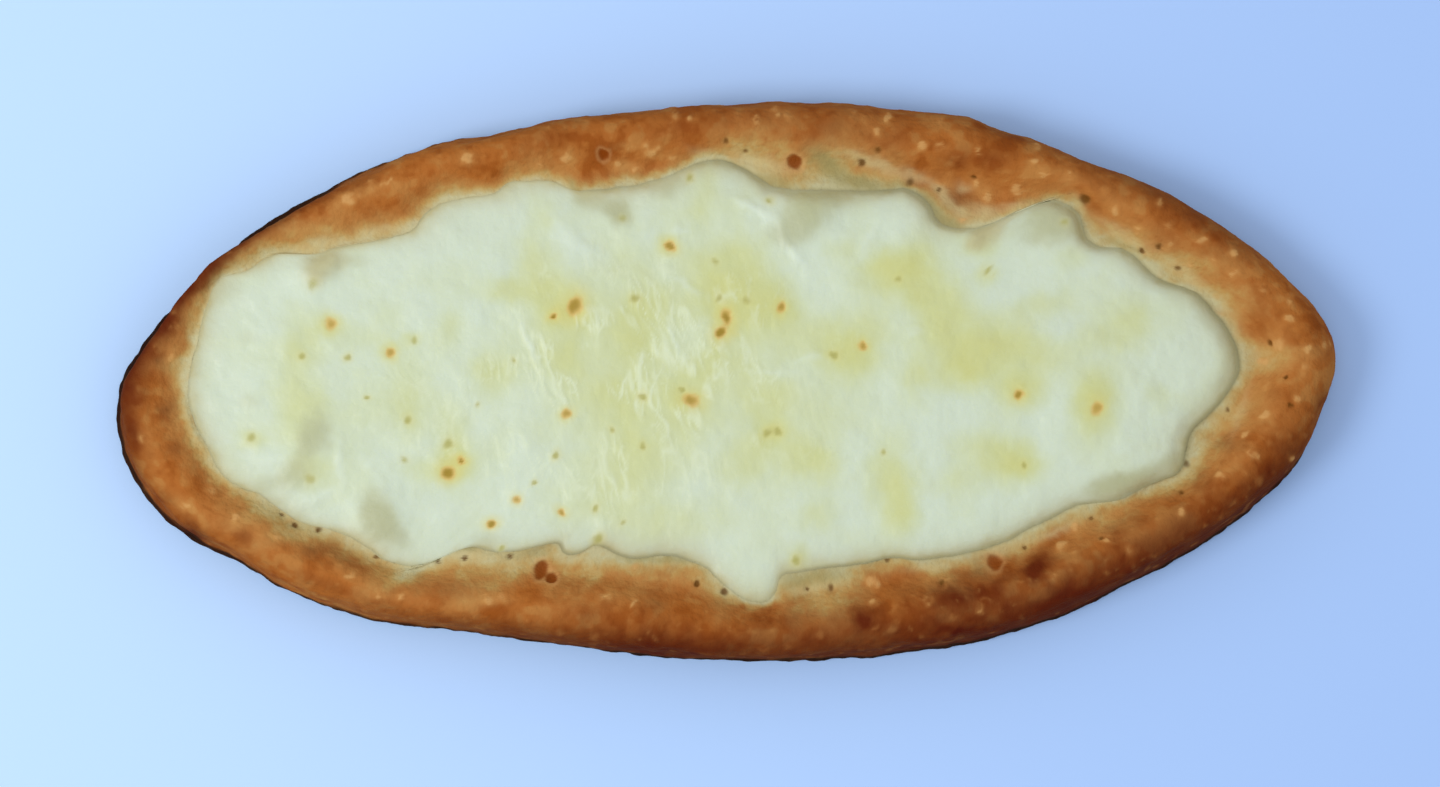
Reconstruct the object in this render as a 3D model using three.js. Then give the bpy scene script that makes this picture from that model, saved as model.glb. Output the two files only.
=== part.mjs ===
/*
 * A long, boat-shaped cheese flatbread.  Its dough is a flat base whose edge
 * stands up all round as a plump browned crust, and melted cheese fills the middle.
 *
 * Millimetres, +Z up, +X along the bread.  The underside lies on z = 0, and the
 * origin is in the middle of the bread's own box.  Angles are in degrees, from +X
 * towards +Y, round the plain oval that the bread's shape starts from.
 */
import * as THREE from 'three';

// ---- Driving dimensions ----
const HALF_LENGTH = 150;
const HALF_WIDTH = 69;
const WAIST_HEIGHT = 4; // where the side of the bread stands out furthest
const LIP_HEIGHT = 12.2; // where the crust comes down to the cheese
const FLOOR_HEIGHT = 6; // top of the dough under the cheese
const CHEESE_RIM_HEIGHT = 13.4; // the cheese just inside its rounded edge
const CHEESE_SWELL = 0.7; // how much higher the middle of the cheese stands
const CLEARANCE = 0.35; // between the cheese and the dough round and under it

// ---- How finely the surfaces are cut up ----
const STATIONS = 200;
const OUTLINE_SAMPLES = 1440;

// How much fuller or slimmer than the plain oval the bread is: [angle, factor].
const OUTLINE = [
  [0, 0.998], [9, 1.006], [24, 0.993], [40, 0.985], [50, 0.99], [60, 1.006], [70, 1.017],
  [80, 1.014], [90, 0.985], [98, 0.973], [105, 0.984], [113, 0.969], [120, 0.98],
  [135, 0.956], [150, 0.95], [163, 0.951], [172, 0.973], [180, 0.996], [195, 1.027],
  [207, 1.042], [213, 1.037], [219, 1.023], [226, 1.038], [236, 1.024], [246, 0.985],
  [258, 0.979], [270, 0.995], [284, 1.007], [294, 1.015], [303, 0.996], [314, 0.973],
  [330, 0.965], [343, 0.976], [352, 0.981],
];

// The wandering line where the cheese meets the crust, as parts of the oval:
// it runs out in lobes and is held back by tongues of crust.
const CHEESE_LINE = [
  [0, 0.815], [10, 0.831], [24, 0.813], [29, 0.78], [42, 0.789], [49, 0.822], [51, 0.769],
  [53, 0.655], [58, 0.641], [65, 0.712], [73, 0.728], [77, 0.708], [81, 0.734], [85, 0.696],
  [91, 0.769], [98, 0.714], [110, 0.692], [113, 0.765], [126, 0.771], [134, 0.732],
  [140, 0.751], [146, 0.781], [149, 0.852], [157, 0.887], [168, 0.866], [190, 0.861],
  [206, 0.87], [220, 0.799], [230, 0.834], [234, 0.7], [240, 0.696], [243, 0.623],
  [248, 0.655], [251, 0.598], [256, 0.639], [261, 0.615], [267, 0.639], [274, 0.773],
  [280, 0.7], [291, 0.664], [305, 0.712], [322, 0.706], [331, 0.767], [340, 0.789],
  [350, 0.784],
];

// Height of the crust's crest: [angle, height].
const CREST_HEIGHT = [
  [0, 20.5], [35, 19.2], [70, 20.2], [105, 19.4], [150, 18.6], [185, 17.8],
  [215, 19.2], [250, 20.6], [285, 19.8], [325, 21],
];

// How far in from the outline the crest stands: [angle, distance].
const CREST_DISTANCE = [
  [0, 11.5], [30, 9], [50, 8], [75, 9.5], [92, 7.5], [110, 7.5], [130, 8], [143, 5.5],
  [152, 3.8], [162, 4.2], [172, 6.5], [185, 9], [200, 10], [220, 8.5], [245, 8.5],
  [260, 10], [272, 8.5], [290, 10.5], [320, 10], [345, 11.5],
];

// Underside and lower side: [distance in from the outline, height].
const UNDERSIDE = [[5, 0], [1.8, 0.6], [0.4, 2]];

// The outside of the crust, from the outline to its crest:
// [part of the crest's distance, part of the height above the waist].
const OUTER_CRUST = [[0, 0], [0.05, 0.22], [0.18, 0.5], [0.38, 0.75], [0.67, 0.93], [1, 1]];

// The inside of the crust, from its crest down to the cheese:
// [part of the way to the cheese line, part of the height above the lip].
const INNER_CRUST = [[0.24, 0.93], [0.48, 0.7], [0.74, 0.36], [1, 0]];

// The wall of dough against the cheese, below the lip: [distance in, height].
const DOUGH_WALL = [[0.8, 9.2], [1.8, FLOOR_HEIGHT]];

// The rounded edge of the cheese: [distance in from the dough, drop below its rim].
const CHEESE_EDGE = [[0, 1.7], [0.5, 0.8], [1.5, 0.25], [3, 0]];

// Rings across the cheese, as parts of the ring inside its edge.
const CHEESE_RINGS = [0.91, 0.8, 0.67, 0.52, 0.36, 0.19];

// Lumps under the cheese: [x, y, radius, height].
const LUMPS = [
  [19, 40, 8, 1.8],
  [79, 40, 8, 1.2],
  [-83, -33, 8, 1.4],
  [-102, -15, 10, 1.6],
  [-100, 28, 6, 1.4],
  [-37, 18, 14, 0.6],
  [44, 27, 18, 0.7],
  [92, -6, 20, 0.7],
];

// ---- Curves ----

// Value at an angle of the smooth closed curve through [angle, value] knots.
function alongKnots(knots, angle) {
  const knot = (index) => {
    const turn = Math.floor(index / knots.length);
    const [knotAngle, value] = knots[index - turn * knots.length];
    return [knotAngle + 360 * turn, value];
  };
  let first = 0;
  while (knot(first + 1)[0] <= angle) first += 1;
  const [before, start, end, after] = [-1, 0, 1, 2].map((step) => knot(first + step));
  const span = end[0] - start[0];
  const startSlope = ((end[1] - before[1]) / (end[0] - before[0])) * span;
  const endSlope = ((after[1] - start[1]) / (after[0] - start[0])) * span;
  const t = (angle - start[0]) / span;
  const s = 1 - t;
  return (
    start[1] * s * s * (1 + 2 * t) +
    end[1] * t * t * (3 - 2 * t) +
    startSlope * t * s * s -
    endSlope * t * t * s
  );
}

function onOval(angle, factor) {
  const radians = THREE.MathUtils.degToRad(angle);
  return new THREE.Vector2(Math.cos(radians) * HALF_LENGTH, Math.sin(radians) * HALF_WIDTH)
    .multiplyScalar(factor);
}

// Angles that cut the outline into steps of one length.
function stationAngles() {
  const angles = Array.from({ length: OUTLINE_SAMPLES + 1 }, (_, i) => (360 * i) / OUTLINE_SAMPLES);
  const points = angles.map((angle) => onOval(angle, alongKnots(OUTLINE, angle % 360)));
  const lengths = [0];
  for (let i = 1; i < points.length; i += 1) {
    lengths.push(lengths[i - 1] + points[i].distanceTo(points[i - 1]));
  }
  const step = lengths[OUTLINE_SAMPLES] / STATIONS;
  let i = 0;
  return Array.from({ length: STATIONS }, (_, station) => {
    while (lengths[i + 1] <= station * step) i += 1;
    const part = (station * step - lengths[i]) / (lengths[i + 1] - lengths[i]);
    return THREE.MathUtils.lerp(angles[i], angles[i + 1], part);
  });
}

const angles = stationAngles();
const outline = angles.map((angle) => onOval(angle, alongKnots(OUTLINE, angle)));
const cheeseLine = angles.map((angle) => onOval(angle, alongKnots(CHEESE_LINE, angle)));

// The closed line moved inwards, square to itself, by a distance or, with a list
// of them, by one distance for each of its points.
function movedIn(line, distances) {
  return line.map((point, i) => {
    const distance = Array.isArray(distances) ? distances[i] : distances;
    const next = line[(i + 1) % line.length];
    const previous = line[(i + line.length - 1) % line.length];
    const along = next.clone().sub(previous).normalize();
    return new THREE.Vector2(point.x - along.y * distance, point.y + along.x * distance);
  });
}

const atHeight = (line, height) => line.map((point) => new THREE.Vector3(point.x, point.y, height));

// ---- Bodies ----

// One closed body from rings of points, given from the underside up and over to
// the middle of the top.  A fan closes each end.
function closedBody(rings, bottomHeight, topHeight) {
  const points = rings.flat();
  const bottomCentre = points.length;
  const topCentre = bottomCentre + 1;
  points.push(new THREE.Vector3(0, 0, bottomHeight), new THREE.Vector3(0, 0, topHeight));
  const faces = [];
  const lastRing = (rings.length - 1) * STATIONS;
  for (let i = 0; i < STATIONS; i += 1) {
    const j = (i + 1) % STATIONS;
    faces.push(bottomCentre, j, i);
    for (let ring = 0; ring < lastRing; ring += STATIONS) {
      faces.push(ring + i, ring + j, ring + STATIONS + j);
      faces.push(ring + i, ring + STATIONS + j, ring + STATIONS + i);
    }
    faces.push(topCentre, lastRing + i, lastRing + j);
  }
  const geometry = new THREE.BufferGeometry().setFromPoints(points);
  geometry.setIndex(faces);
  geometry.computeVertexNormals();
  return geometry;
}

// A line of the crust, part of the way up from a low height to its crest.
function crustRing(line, lowHeight, part) {
  return line.map(({ x, y }, i) => {
    const crestHeight = alongKnots(CREST_HEIGHT, angles[i]);
    return new THREE.Vector3(x, y, THREE.MathUtils.lerp(lowHeight, crestHeight, part));
  });
}

function breadGeometry() {
  const crestDistances = angles.map((angle) => alongKnots(CREST_DISTANCE, angle));
  const towardsCrest = (part) => movedIn(outline, crestDistances.map((distance) => distance * part));
  const crestLine = towardsCrest(1);
  const towardsCheese = (part) => crestLine.map((point, i) => point.clone().lerp(cheeseLine[i], part));
  const rings = [
    ...UNDERSIDE.map(([distance, height]) => atHeight(movedIn(outline, distance), height)),
    ...OUTER_CRUST.map(([part, rise]) => crustRing(towardsCrest(part), WAIST_HEIGHT, rise)),
    ...INNER_CRUST.map(([part, rise]) => crustRing(towardsCheese(part), LIP_HEIGHT, rise)),
    ...DOUGH_WALL.map(([distance, height]) => atHeight(movedIn(cheeseLine, distance), height)),
  ];
  return closedBody(rings, 0, FLOOR_HEIGHT);
}

// Height of the cheese: nearly level, a little fuller in the middle, with lumps.
function cheeseHeight(x, y, nearMiddle) {
  const lumps = LUMPS.map(([lumpX, lumpY, radius, height]) => {
    const away = Math.hypot(x - lumpX, y - lumpY) / radius;
    return height * Math.exp(-away * away);
  });
  return CHEESE_RIM_HEIGHT + CHEESE_SWELL * nearMiddle + lumps.reduce((sum, lump) => sum + lump, 0);
}

function cheeseRing(line, nearMiddle, drop) {
  return line.map(({ x, y }) => new THREE.Vector3(x, y, cheeseHeight(x, y, nearMiddle) - drop));
}

function cheeseGeometry() {
  const side = [...DOUGH_WALL].reverse().map(([distance, height]) => {
    const line = movedIn(cheeseLine, distance + CLEARANCE);
    return atHeight(line, height + (height === FLOOR_HEIGHT ? CLEARANCE : 0));
  });
  const edge = CHEESE_EDGE.map(([distance, drop]) => {
    return cheeseRing(movedIn(cheeseLine, distance + CLEARANCE), 0, drop);
  });
  const inner = movedIn(cheeseLine, CHEESE_EDGE.at(-1)[0] + CLEARANCE);
  const top = CHEESE_RINGS.map((part) => {
    const line = inner.map((point) => point.clone().multiplyScalar(part));
    return cheeseRing(line, 1 - part * part, 0);
  });
  return closedBody([...side, ...edge, ...top], FLOOR_HEIGHT + CLEARANCE, cheeseHeight(0, 0, 1));
}

// ---- The flatbread ----
const group = new THREE.Group();

const breadMaterial = new THREE.MeshStandardMaterial({ color: 0xa9672f, roughness: 0.6, metalness: 0 });
const bread = new THREE.Mesh(breadGeometry(), breadMaterial);
bread.name = 'bread';
group.add(bread);

const cheeseMaterial = new THREE.MeshStandardMaterial({ color: 0xd3dbb6, roughness: 0.45, metalness: 0 });
const cheese = new THREE.Mesh(cheeseGeometry(), cheeseMaterial);
cheese.name = 'cheese';
group.add(cheese);

// The uneven outline isn't quite even about the oval's middle, so both bodies
// move together until the bread's box is.
const middle = new THREE.Box3().setFromObject(bread).getCenter(new THREE.Vector3());
bread.position.set(-middle.x, -middle.y, 0);
cheese.position.copy(bread.position);

export default group;
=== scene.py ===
# %% [markdown]
# # A cheese flatbread, boat-shaped
# The bread is a flat base of dough whose edge was rolled up and baked into a plump
# brown crust, and the hollow is filled with melted cheese.  Two solids of the part
# carry it, bread and cheese.  They keep the right size and place, but their faces
# are a few millimetres wide, so this lesson replaces each with a fine mesh on the
# same lines and adds what baking did: blisters, pits, bubbles, browning and melt.

# %% Load the part
import math

import bpy
import numpy as np
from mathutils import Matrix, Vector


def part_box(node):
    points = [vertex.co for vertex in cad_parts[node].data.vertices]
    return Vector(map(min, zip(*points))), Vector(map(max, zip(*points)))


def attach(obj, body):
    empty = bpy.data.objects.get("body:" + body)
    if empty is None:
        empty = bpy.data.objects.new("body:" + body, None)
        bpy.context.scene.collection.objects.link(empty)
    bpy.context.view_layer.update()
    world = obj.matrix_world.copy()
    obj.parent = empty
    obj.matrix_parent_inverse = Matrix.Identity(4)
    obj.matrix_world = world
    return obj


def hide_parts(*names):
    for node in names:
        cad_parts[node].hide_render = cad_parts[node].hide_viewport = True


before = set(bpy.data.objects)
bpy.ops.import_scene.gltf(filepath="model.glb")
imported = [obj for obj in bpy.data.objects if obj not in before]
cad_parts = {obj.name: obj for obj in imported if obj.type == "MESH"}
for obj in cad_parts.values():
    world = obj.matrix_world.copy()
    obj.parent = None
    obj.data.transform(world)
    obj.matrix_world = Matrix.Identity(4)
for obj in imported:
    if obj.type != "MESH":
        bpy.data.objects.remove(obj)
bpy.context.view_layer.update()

MM = 0.001
bread_low, bread_high = (np.array(corner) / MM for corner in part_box("bread"))
print("bread, mm:", bread_low.round(1), bread_high.round(1))

# %% [markdown]
# ## The lines of the bread
# Seen from above, the bread is a plain oval that fills out and slims a little as it
# goes round, so one closed curve of factors describes it.  The same kind of curve
# gives the wandering edge of the cheese, the height of the crust's crest and how
# far in it stands.  Knots on a smooth curve say this with far fewer numbers than a
# drawn outline would.  The part's solids follow the same lines with fewer knots.
# The knots of CHEESE_LINE, and of BROWN_LINE further on, aren't round numbers,
# because separate programs made them: one traced the browning in the photograph, and
# both lines were turned into knots and thinned by a program.  Knots set by hand would
# be the better way: fewer of them, and each with a reason of its own.

# %% Knots round the oval: angle in degrees, then a factor of the oval or millimetres
HALF_LENGTH = 150
HALF_WIDTH = 69
OUTLINE = [
    (0, 0.993), (9, 1.0), (24, 0.988), (40, 0.978), (50, 0.98), (56, 0.987), (61, 0.994),
    (64.5, 1.0), (67, 1.01), (72, 1.009), (80, 1.006), (90, 0.979), (98, 0.968), (105, 0.979),
    (113, 0.962), (120, 0.973), (135, 0.947), (150, 0.939), (163, 0.94), (172, 0.964),
    (178, 0.985), (181, 0.993), (187, 1.003), (195, 1.02), (207, 1.039), (213, 1.041),
    (219, 1.02), (226, 1.034), (236, 1.024), (246, 0.986), (258, 0.981), (270, 0.998),
    (284, 1.009), (294, 1.016), (303, 0.999), (314, 0.976), (330, 0.968), (343, 0.977), (352, 0.979),
]
CHEESE_LINE = [
    (0, 0.831), (6.9, 0.839), (21, 0.83), (23.9, 0.817), (26.6, 0.794), (36.3, 0.798),
    (38.3, 0.777), (41.2, 0.781), (46.4, 0.831), (50.6, 0.835), (51.3, 0.811), (52.4, 0.715),
    (53.6, 0.672), (58, 0.66), (64, 0.726), (67, 0.743), (69.4, 0.721), (83.4, 0.693),
    (89.5, 0.777), (92.9, 0.781), (99, 0.723), (109.6, 0.715), (112, 0.766), (116.3, 0.789),
    (120, 0.767), (125.1, 0.783), (128.5, 0.777), (133.6, 0.744), (137.5, 0.751), (144.1, 0.798),
    (145.8, 0.806), (148.5, 0.86), (153.1, 0.877), (156.3, 0.903), (164, 0.885), (172, 0.875),
    (186, 0.88), (193.1, 0.877), (203, 0.885), (208, 0.862), (215, 0.857), (221.3, 0.825),
    (225.7, 0.83), (229.1, 0.844), (233, 0.817), (234.7, 0.725), (238.7, 0.712), (244.3, 0.637),
    (246.6, 0.663), (248.6, 0.658), (249.8, 0.618), (255.6, 0.643), (260.8, 0.625),
    (266.5, 0.653), (272, 0.773), (274.9, 0.78), (276.1, 0.751), (276.9, 0.708), (278.4, 0.688),
    (287, 0.682), (294.2, 0.683), (296.3, 0.707), (304, 0.725), (322, 0.72), (326.8, 0.768),
    (331.8, 0.779), (336, 0.803), (347.1, 0.78),
]
CREST_HEIGHT = [
    (0, 20.5), (35, 19.2), (70, 20.2), (105, 19.4), (140, 18.2), (150, 17.2), (158, 16.6),
    (166, 16.6), (185, 17.4), (215, 19.2), (250, 20.6), (285, 19.8), (325, 21),
]
CREST_DISTANCE = [
    (0, 11.5), (30, 9), (48, 7.4), (57, 6.8), (65, 8.2), (76, 9), (92, 6.2), (110, 6.5),
    (130, 7.5), (143, 4.6), (150, 2.8), (157, 2), (163, 2.4), (172, 5), (185, 8.5), (200, 10),
    (218, 8.5), (232, 7.8), (241, 7.2), (249, 8.5), (260, 9.5), (272, 7.5), (290, 10),
    (320, 9.5), (345, 11),
]
print(len(OUTLINE), "knots for the outline,", len(CHEESE_LINE), "for the edge of the cheese")


# %% Smooth closed curves through knots
def smooth_curve(at, values, wanted):
    """Values at the wanted places of the smooth curve through values at places."""
    slope = np.gradient(values, at, axis=0, edge_order=1)
    slope[1:-1] = (values[2:] - values[:-2]) / spread_out(at[2:] - at[:-2], values)
    first = np.clip(np.searchsorted(at, wanted, side="right") - 1, 0, len(at) - 2)
    span = spread_out(at[first + 1] - at[first], values)
    way = spread_out(wanted - at[first], values) / span
    rest = 1 - way
    start, end = values[first], values[first + 1]
    bend = (slope[first] * rest - slope[first + 1] * way) * span * way * rest
    return start * rest * rest * (1 + 2 * way) + end * way * way * (3 - 2 * way) + bend


def spread_out(line, like):
    """A line of numbers shaped so that it multiplies rows of the other array."""
    return line.reshape((-1,) + (1,) * (like.ndim - 1))


def along_knots(knots, angles):
    """Values at the angles of the smooth closed curve through the knots."""
    at, value = np.array(knots).T
    at = np.concatenate([at[-2:] - 360, at, at[:3] + 360])
    value = np.concatenate([value[-2:], value, value[:3]])
    return smooth_curve(at, value, np.mod(angles, 360))


def on_oval(angles, factors):
    """Points of the oval, each at its factor of the oval's size, in millimetres."""
    turn = np.radians(angles)
    return np.stack([HALF_LENGTH * np.cos(turn), HALF_WIDTH * np.sin(turn)], -1) * factors[:, None]


def place_on_oval(x, y):
    """The angle and the factor of the oval that a point lies at."""
    along, across = x / HALF_LENGTH, y / HALF_WIDTH
    return np.degrees(np.arctan2(across, along)), np.hypot(along, across)


def moved_in(line, distances):
    """The closed line moved inwards by the distances, square to itself."""
    along = np.roll(line, -1, 0) - np.roll(line, 1, 0)
    along /= np.linalg.norm(along, axis=1, keepdims=True)
    inwards = np.stack([-along[:, 1], along[:, 0]], -1)
    return line + inwards * np.reshape(distances, (-1, 1))


print("crest at the four sides, mm:", along_knots(CREST_HEIGHT, np.arange(0, 360, 90)).round(1))

# %% [markdown]
# ## Stations
# Both meshes are woven from lines round the bread and lines across it.  Equal angles
# would crowd the lines at the pointed ends, so the stations are set at equal steps
# along the outline instead.  An even number lets the two long sides be joined
# station by station along a spine in the middle.

# %% Stations at equal steps round the outline
STATIONS = 1120
HALF_WAY = STATIONS // 2
FINE_STEPS_A_DEGREE = 20
fine_angles = np.linspace(0, 360, 360 * FINE_STEPS_A_DEGREE + 1)
fine_line = on_oval(fine_angles, along_knots(OUTLINE, fine_angles))
fine_lengths = np.concatenate([[0], np.cumsum(np.linalg.norm(np.diff(fine_line, axis=0), axis=1))])
steps = np.arange(STATIONS) * fine_lengths[-1] / STATIONS
angles = np.interp(steps, fine_lengths, fine_angles)

outline = on_oval(angles, along_knots(OUTLINE, angles))
print(f"outline {fine_lengths[-1]:.0f} mm round, "
      f"from {outline.min(0).round(1)} to {outline.max(0).round(1)}")

# %% [markdown]
# ## The camera
# The bread is seen from almost straight above, from a little towards its lower side.
# The camera comes early because the small marks further on are placed as the eye
# meets them.  A mark high on the crest looks further out than one low on the side,
# so seen_from_above follows the line of sight down to the height of the bread's
# waist, and each mark then lands where it shows.  lying_at goes the other way, for
# the edge of the cheese.

# %% Camera at the viewing angle
WAIST_HEIGHT = 4
VIEW_WIDTH = 352.7
VIEW_CENTRE = np.array([-1.6, -3.1])
VIEW_DISTANCE = 1000
VIEW_ELEVATION = math.radians(87)
SENSOR_WIDTH = 36

eye = np.array([
    VIEW_CENTRE[0],
    VIEW_CENTRE[1] - VIEW_DISTANCE * math.cos(VIEW_ELEVATION),
    WAIST_HEIGHT + VIEW_DISTANCE * math.sin(VIEW_ELEVATION),
])
camera = bpy.data.objects.new("camera", bpy.data.cameras.new("camera"))
bpy.context.scene.collection.objects.link(camera)
camera.location = eye * MM
camera.rotation_euler = (math.pi / 2 - VIEW_ELEVATION, 0, 0)
camera.data.sensor_width = SENSOR_WIDTH
camera.data.lens = SENSOR_WIDTH * VIEW_DISTANCE / VIEW_WIDTH
camera.data.clip_start = 0.01
bpy.context.scene.camera = camera
print(f"lens {camera.data.lens:.1f} mm")


# %% From where a point lies to where it is seen, and back
def seen_from_above(points):
    """Where the eye sees each point, on the level of the waist, in millimetres."""
    reach = (eye[2] - WAIST_HEIGHT) / (eye[2] - points[..., 2])
    return eye[0] + (points[..., 0] - eye[0]) * reach, eye[1] + (points[..., 1] - eye[1]) * reach


def lying_at(seen, heights):
    """Where points seen at these places on the waist's level lie, at these heights."""
    reach = (eye[2] - heights) / (eye[2] - WAIST_HEIGHT)
    return eye[:2] + (seen - eye[:2]) * reach[:, None]


right_crest = np.array([HALF_LENGTH, 0, bread_high[2]])
print(f"the top of the crest at the right end is seen at x = {seen_from_above(right_crest)[0]:.1f} mm")

# %% [markdown]
# ## Unevenness
# Dough and cheese are uneven at every size at once.  A lattice of fixed random
# numbers, blended smoothly between its corners, gives bumps of one size, and a few
# such layers, each half as large and half as strong, give the natural mixture.  The
# numbers come from the lattice corners themselves, so every run gives the same.

# %% Seeded unevenness in three dimensions
MIXER_X, MIXER_Y, MIXER_Z, MIXER_SEED = 374761393, 668265263, 2246822519, 3266489917
FIRST_STIR, SECOND_STIR = 1274126177, 2654435761
LOW_32_BITS, LOW_16_BITS = 0xFFFFFFFF, 0xFFFF
LATTICE_SHIFT = 1000.5
LAYER_SPREAD = 1.6


def corner_values(corners, seed):
    """A fixed number from 0 to 1 for each whole-numbered corner."""
    mixed = corners[..., 0] * MIXER_X + corners[..., 1] * MIXER_Y
    mixed = (mixed + corners[..., 2] * MIXER_Z + seed * MIXER_SEED) & LOW_32_BITS
    mixed = ((mixed ^ (mixed >> 13)) * FIRST_STIR) & LOW_32_BITS
    mixed = ((mixed ^ (mixed >> 16)) * SECOND_STIR) & LOW_32_BITS
    return ((mixed >> 8) & LOW_16_BITS) / LOW_16_BITS


def one_layer(points, size, seed):
    """Unevenness with bumps of one size, from 0 to 1."""
    scaled = points / size + LATTICE_SHIFT
    corner = np.floor(scaled).astype(np.int64)
    part = scaled - corner
    part = part * part * part * (part * (part * 6 - 15) + 10)
    total = 0
    for step in np.ndindex(2, 2, 2):
        weight = np.prod(np.where(np.array(step), part, 1 - part), axis=-1)
        total = total + weight * corner_values(corner + np.array(step), seed)
    return total


def unevenness(points, size, seed, layers=3):
    """Smooth unevenness from about -1 to 1, with bumps of the size in millimetres."""
    total, strength, full = 0, 1, 0
    for layer in range(layers):
        total = total + strength * (one_layer(points, size / 2**layer, seed + layer) * 2 - 1)
        full += strength
        strength *= 0.5
    return total / full * LAYER_SPREAD


def step_up(value, low, high):
    """0 below low, 1 above high, and a smooth rise between."""
    way = np.clip((value - low) / (high - low), 0, 1)
    return way * way * (3 - 2 * way)


sample = unevenness(np.linspace((0, 0, 0), (100, 0, 0), 101), 5, 1)
print(f"unevenness along a line: {sample.min():.2f} to {sample.max():.2f}")

# %% [markdown]
# ## The marks of baking on the crust
# Steam lifts small pale blisters under the skin, bursts others into pits with a dark
# inside, and leaves a few large bubbles that brown right through.  Where the oven was
# hottest the crust darkens in patches, and where the dough was wet it stays pale.
# These marks make one bread different from another, so each is placed one by one, in
# millimetres as seen from above.  Scattering them by chance would be quicker but
# would be another bread.  Only the finest blisters, too many to place, are scattered.

# %% Round marks of the crust: x, y and radius
BLISTERS = [
    (-63.6, 54.6, 1.6), (-45.9, 53.4, 1.5), (-39.3, 54.9, 1.5), (-18.5, 56.6, 2.2),
    (-13.3, 55.3, 1.6), (-26.6, 53.6, 1.3), (-12.6, 64.9, 1.2), (-8.9, 64.4, 1.2),
    (7.7, 63.7, 1.4), (12.1, 66.1, 1.2), (15.6, 64.9, 1.4), (39.6, 65.4, 1.3), (36.4, 61.2, 1.4),
    (52.5, 64.2, 1.3), (52.8, 57.3, 1.6), (61.6, 57.1, 1.3), (47.9, 57.8, 1.3), (76.5, 58.5, 1.5),
    (84.9, 50.9, 1.4), (71.6, 47.0, 1.6), (77.8, 50.7, 1.3), (52.5, 48.7, 1.3), (63.8, 45.1, 1.5),
    (61.3, 48.2, 1.3), (58.2, 39.4, 1.4), (75.6, 54.4, 1.2), (95.4, 41.9, 1.5),
    (105.9, 43.3, 1.3), (108.6, 38.2, 1.5), (108.4, 33.8, 1.4), (101.0, 37.2, 1.3),
    (116.7, 34.3, 1.5), (124.0, 31.6, 1.5), (119.1, 29.6, 1.3), (124.3, 26.2, 1.4),
    (132.1, 22.5, 1.4), (138.0, 20.1, 1.6), (137.5, 15.4, 1.7), (134.8, 9.1, 2),
    (142.2, 7.8, 1.3), (146.8, 8.8, 1.3), (131.4, 4.7, 1.5), (132.1, -0.5, 1.5),
    (142.4, 2.9, 1.4), (139.5, -4.2, 1.5), (132.1, -8.6, 1.4), (103.2, 31.6, 1.3),
    (121.1, 16.7, 1.3), (128.9, -18.4, 1.6), (120.6, -23.5, 1.5), (138.0, -18.4, 1.2),
    (111.1, -32.1, 1.4), (92.7, -38.2, 1.5), (81.7, -40.7, 1.6), (85.1, -43.1, 1.4),
    (80.0, -48.2, 1.5), (98.8, -41.4, 1.4), (85.3, -35.8, 1.4), (35.4, -49.2, 1.8),
    (35.9, -53.9, 1.3), (49.1, -53.6, 1.4), (54.0, -49.5, 1.3), (61.8, -55.8, 1.2),
    (-30.0, -52.9, 2), (-22.4, -54.6, 1.6), (-17.8, -50.2, 1.5), (-109.8, -38.4, 1.4),
    (-92.0, -47.3, 1.6), (-135.8, 6.6, 2.2), (-142.4, -13.5, 1.5), (-23.6, 56.9, 1.3),
    (-22.2, 52.5, 1.3), (30.9, 65.2, 1.4), (-58.6, -53.6, 1.6), (-22.2, -45.6, 1.4),
    (-132.4, -30.6, 1.8), (-84.9, -52.4, 1.5), (113.5, 28.6, 1.5), (127.5, -12.6, 1.3),
    (-93, 44.5, 2.1), (-90, 46.3, 1.7), (-87, 47.5, 2.0), (-83.5, 48.6, 1.5),
    (-79.5, -52.5, 1.4), (-55.5, -53.2, 1.5), (-126, -27, 1.5), (-120, -33.5, 1.4),
]
PITS = [
    (-0.1, 59.3, 1.2), (4.8, 56.8, 1), (37.1, 56.6, 1.3), (33.2, 53.4, 1.3), (45.2, 49.0, 1.2),
    (60.6, 50.0, 0.9), (87.8, 44.3, 1.7), (-63.8, -43.3, 1), (-52.8, -42.9, 1),
    (-0.6, -51.7, 1.2), (1.1, -50.2, 0.8), (25.6, -50.4, 1.2), (19.7, -50.7, 0.8),
    (-7.2, -49.7, 0.9), (112.5, -20.3, 1.2), (122.6, -7.1, 1), (110.8, 27.9, 1.1),
    (102.2, 32.1, 1), (106.2, 33.3, 1), (132.6, 9.1, 1), (136.8, 1.2, 0.9), (138.2, -6.1, 1),
    (72.9, -40.9, 0.9), (89.0, -33.6, 0.8), (91.5, -38.4, 0.8), (64.3, -39.9, 0.8),
    (110.8, -26.9, 0.9), (52.5, -49.2, 0.8), (39.3, -44.1, 0.8), (-111.6, -29.1, 0.9),
    (-108.6, -32.8, 0.9), (-105.4, -35.3, 1), (-99.6, -36.5, 1), (-85.6, -43.1, 0.9),
    (-70.7, -44.1, 0.9), (52.3, 47.0, 0.9),
]
BUBBLES = [
    (16.8, 53.9, 2.3), (65.5, -44.4, 2.2), (-45.4, -46.0, 2.1), (-42.7, -48.0, 1.5),
    (-30.2, 55.6, 1.6),
]
FINE_BLISTERS = 420
print(len(BLISTERS), "blisters,", len(PITS), "pits,", len(BUBBLES), "bubbles")

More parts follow.
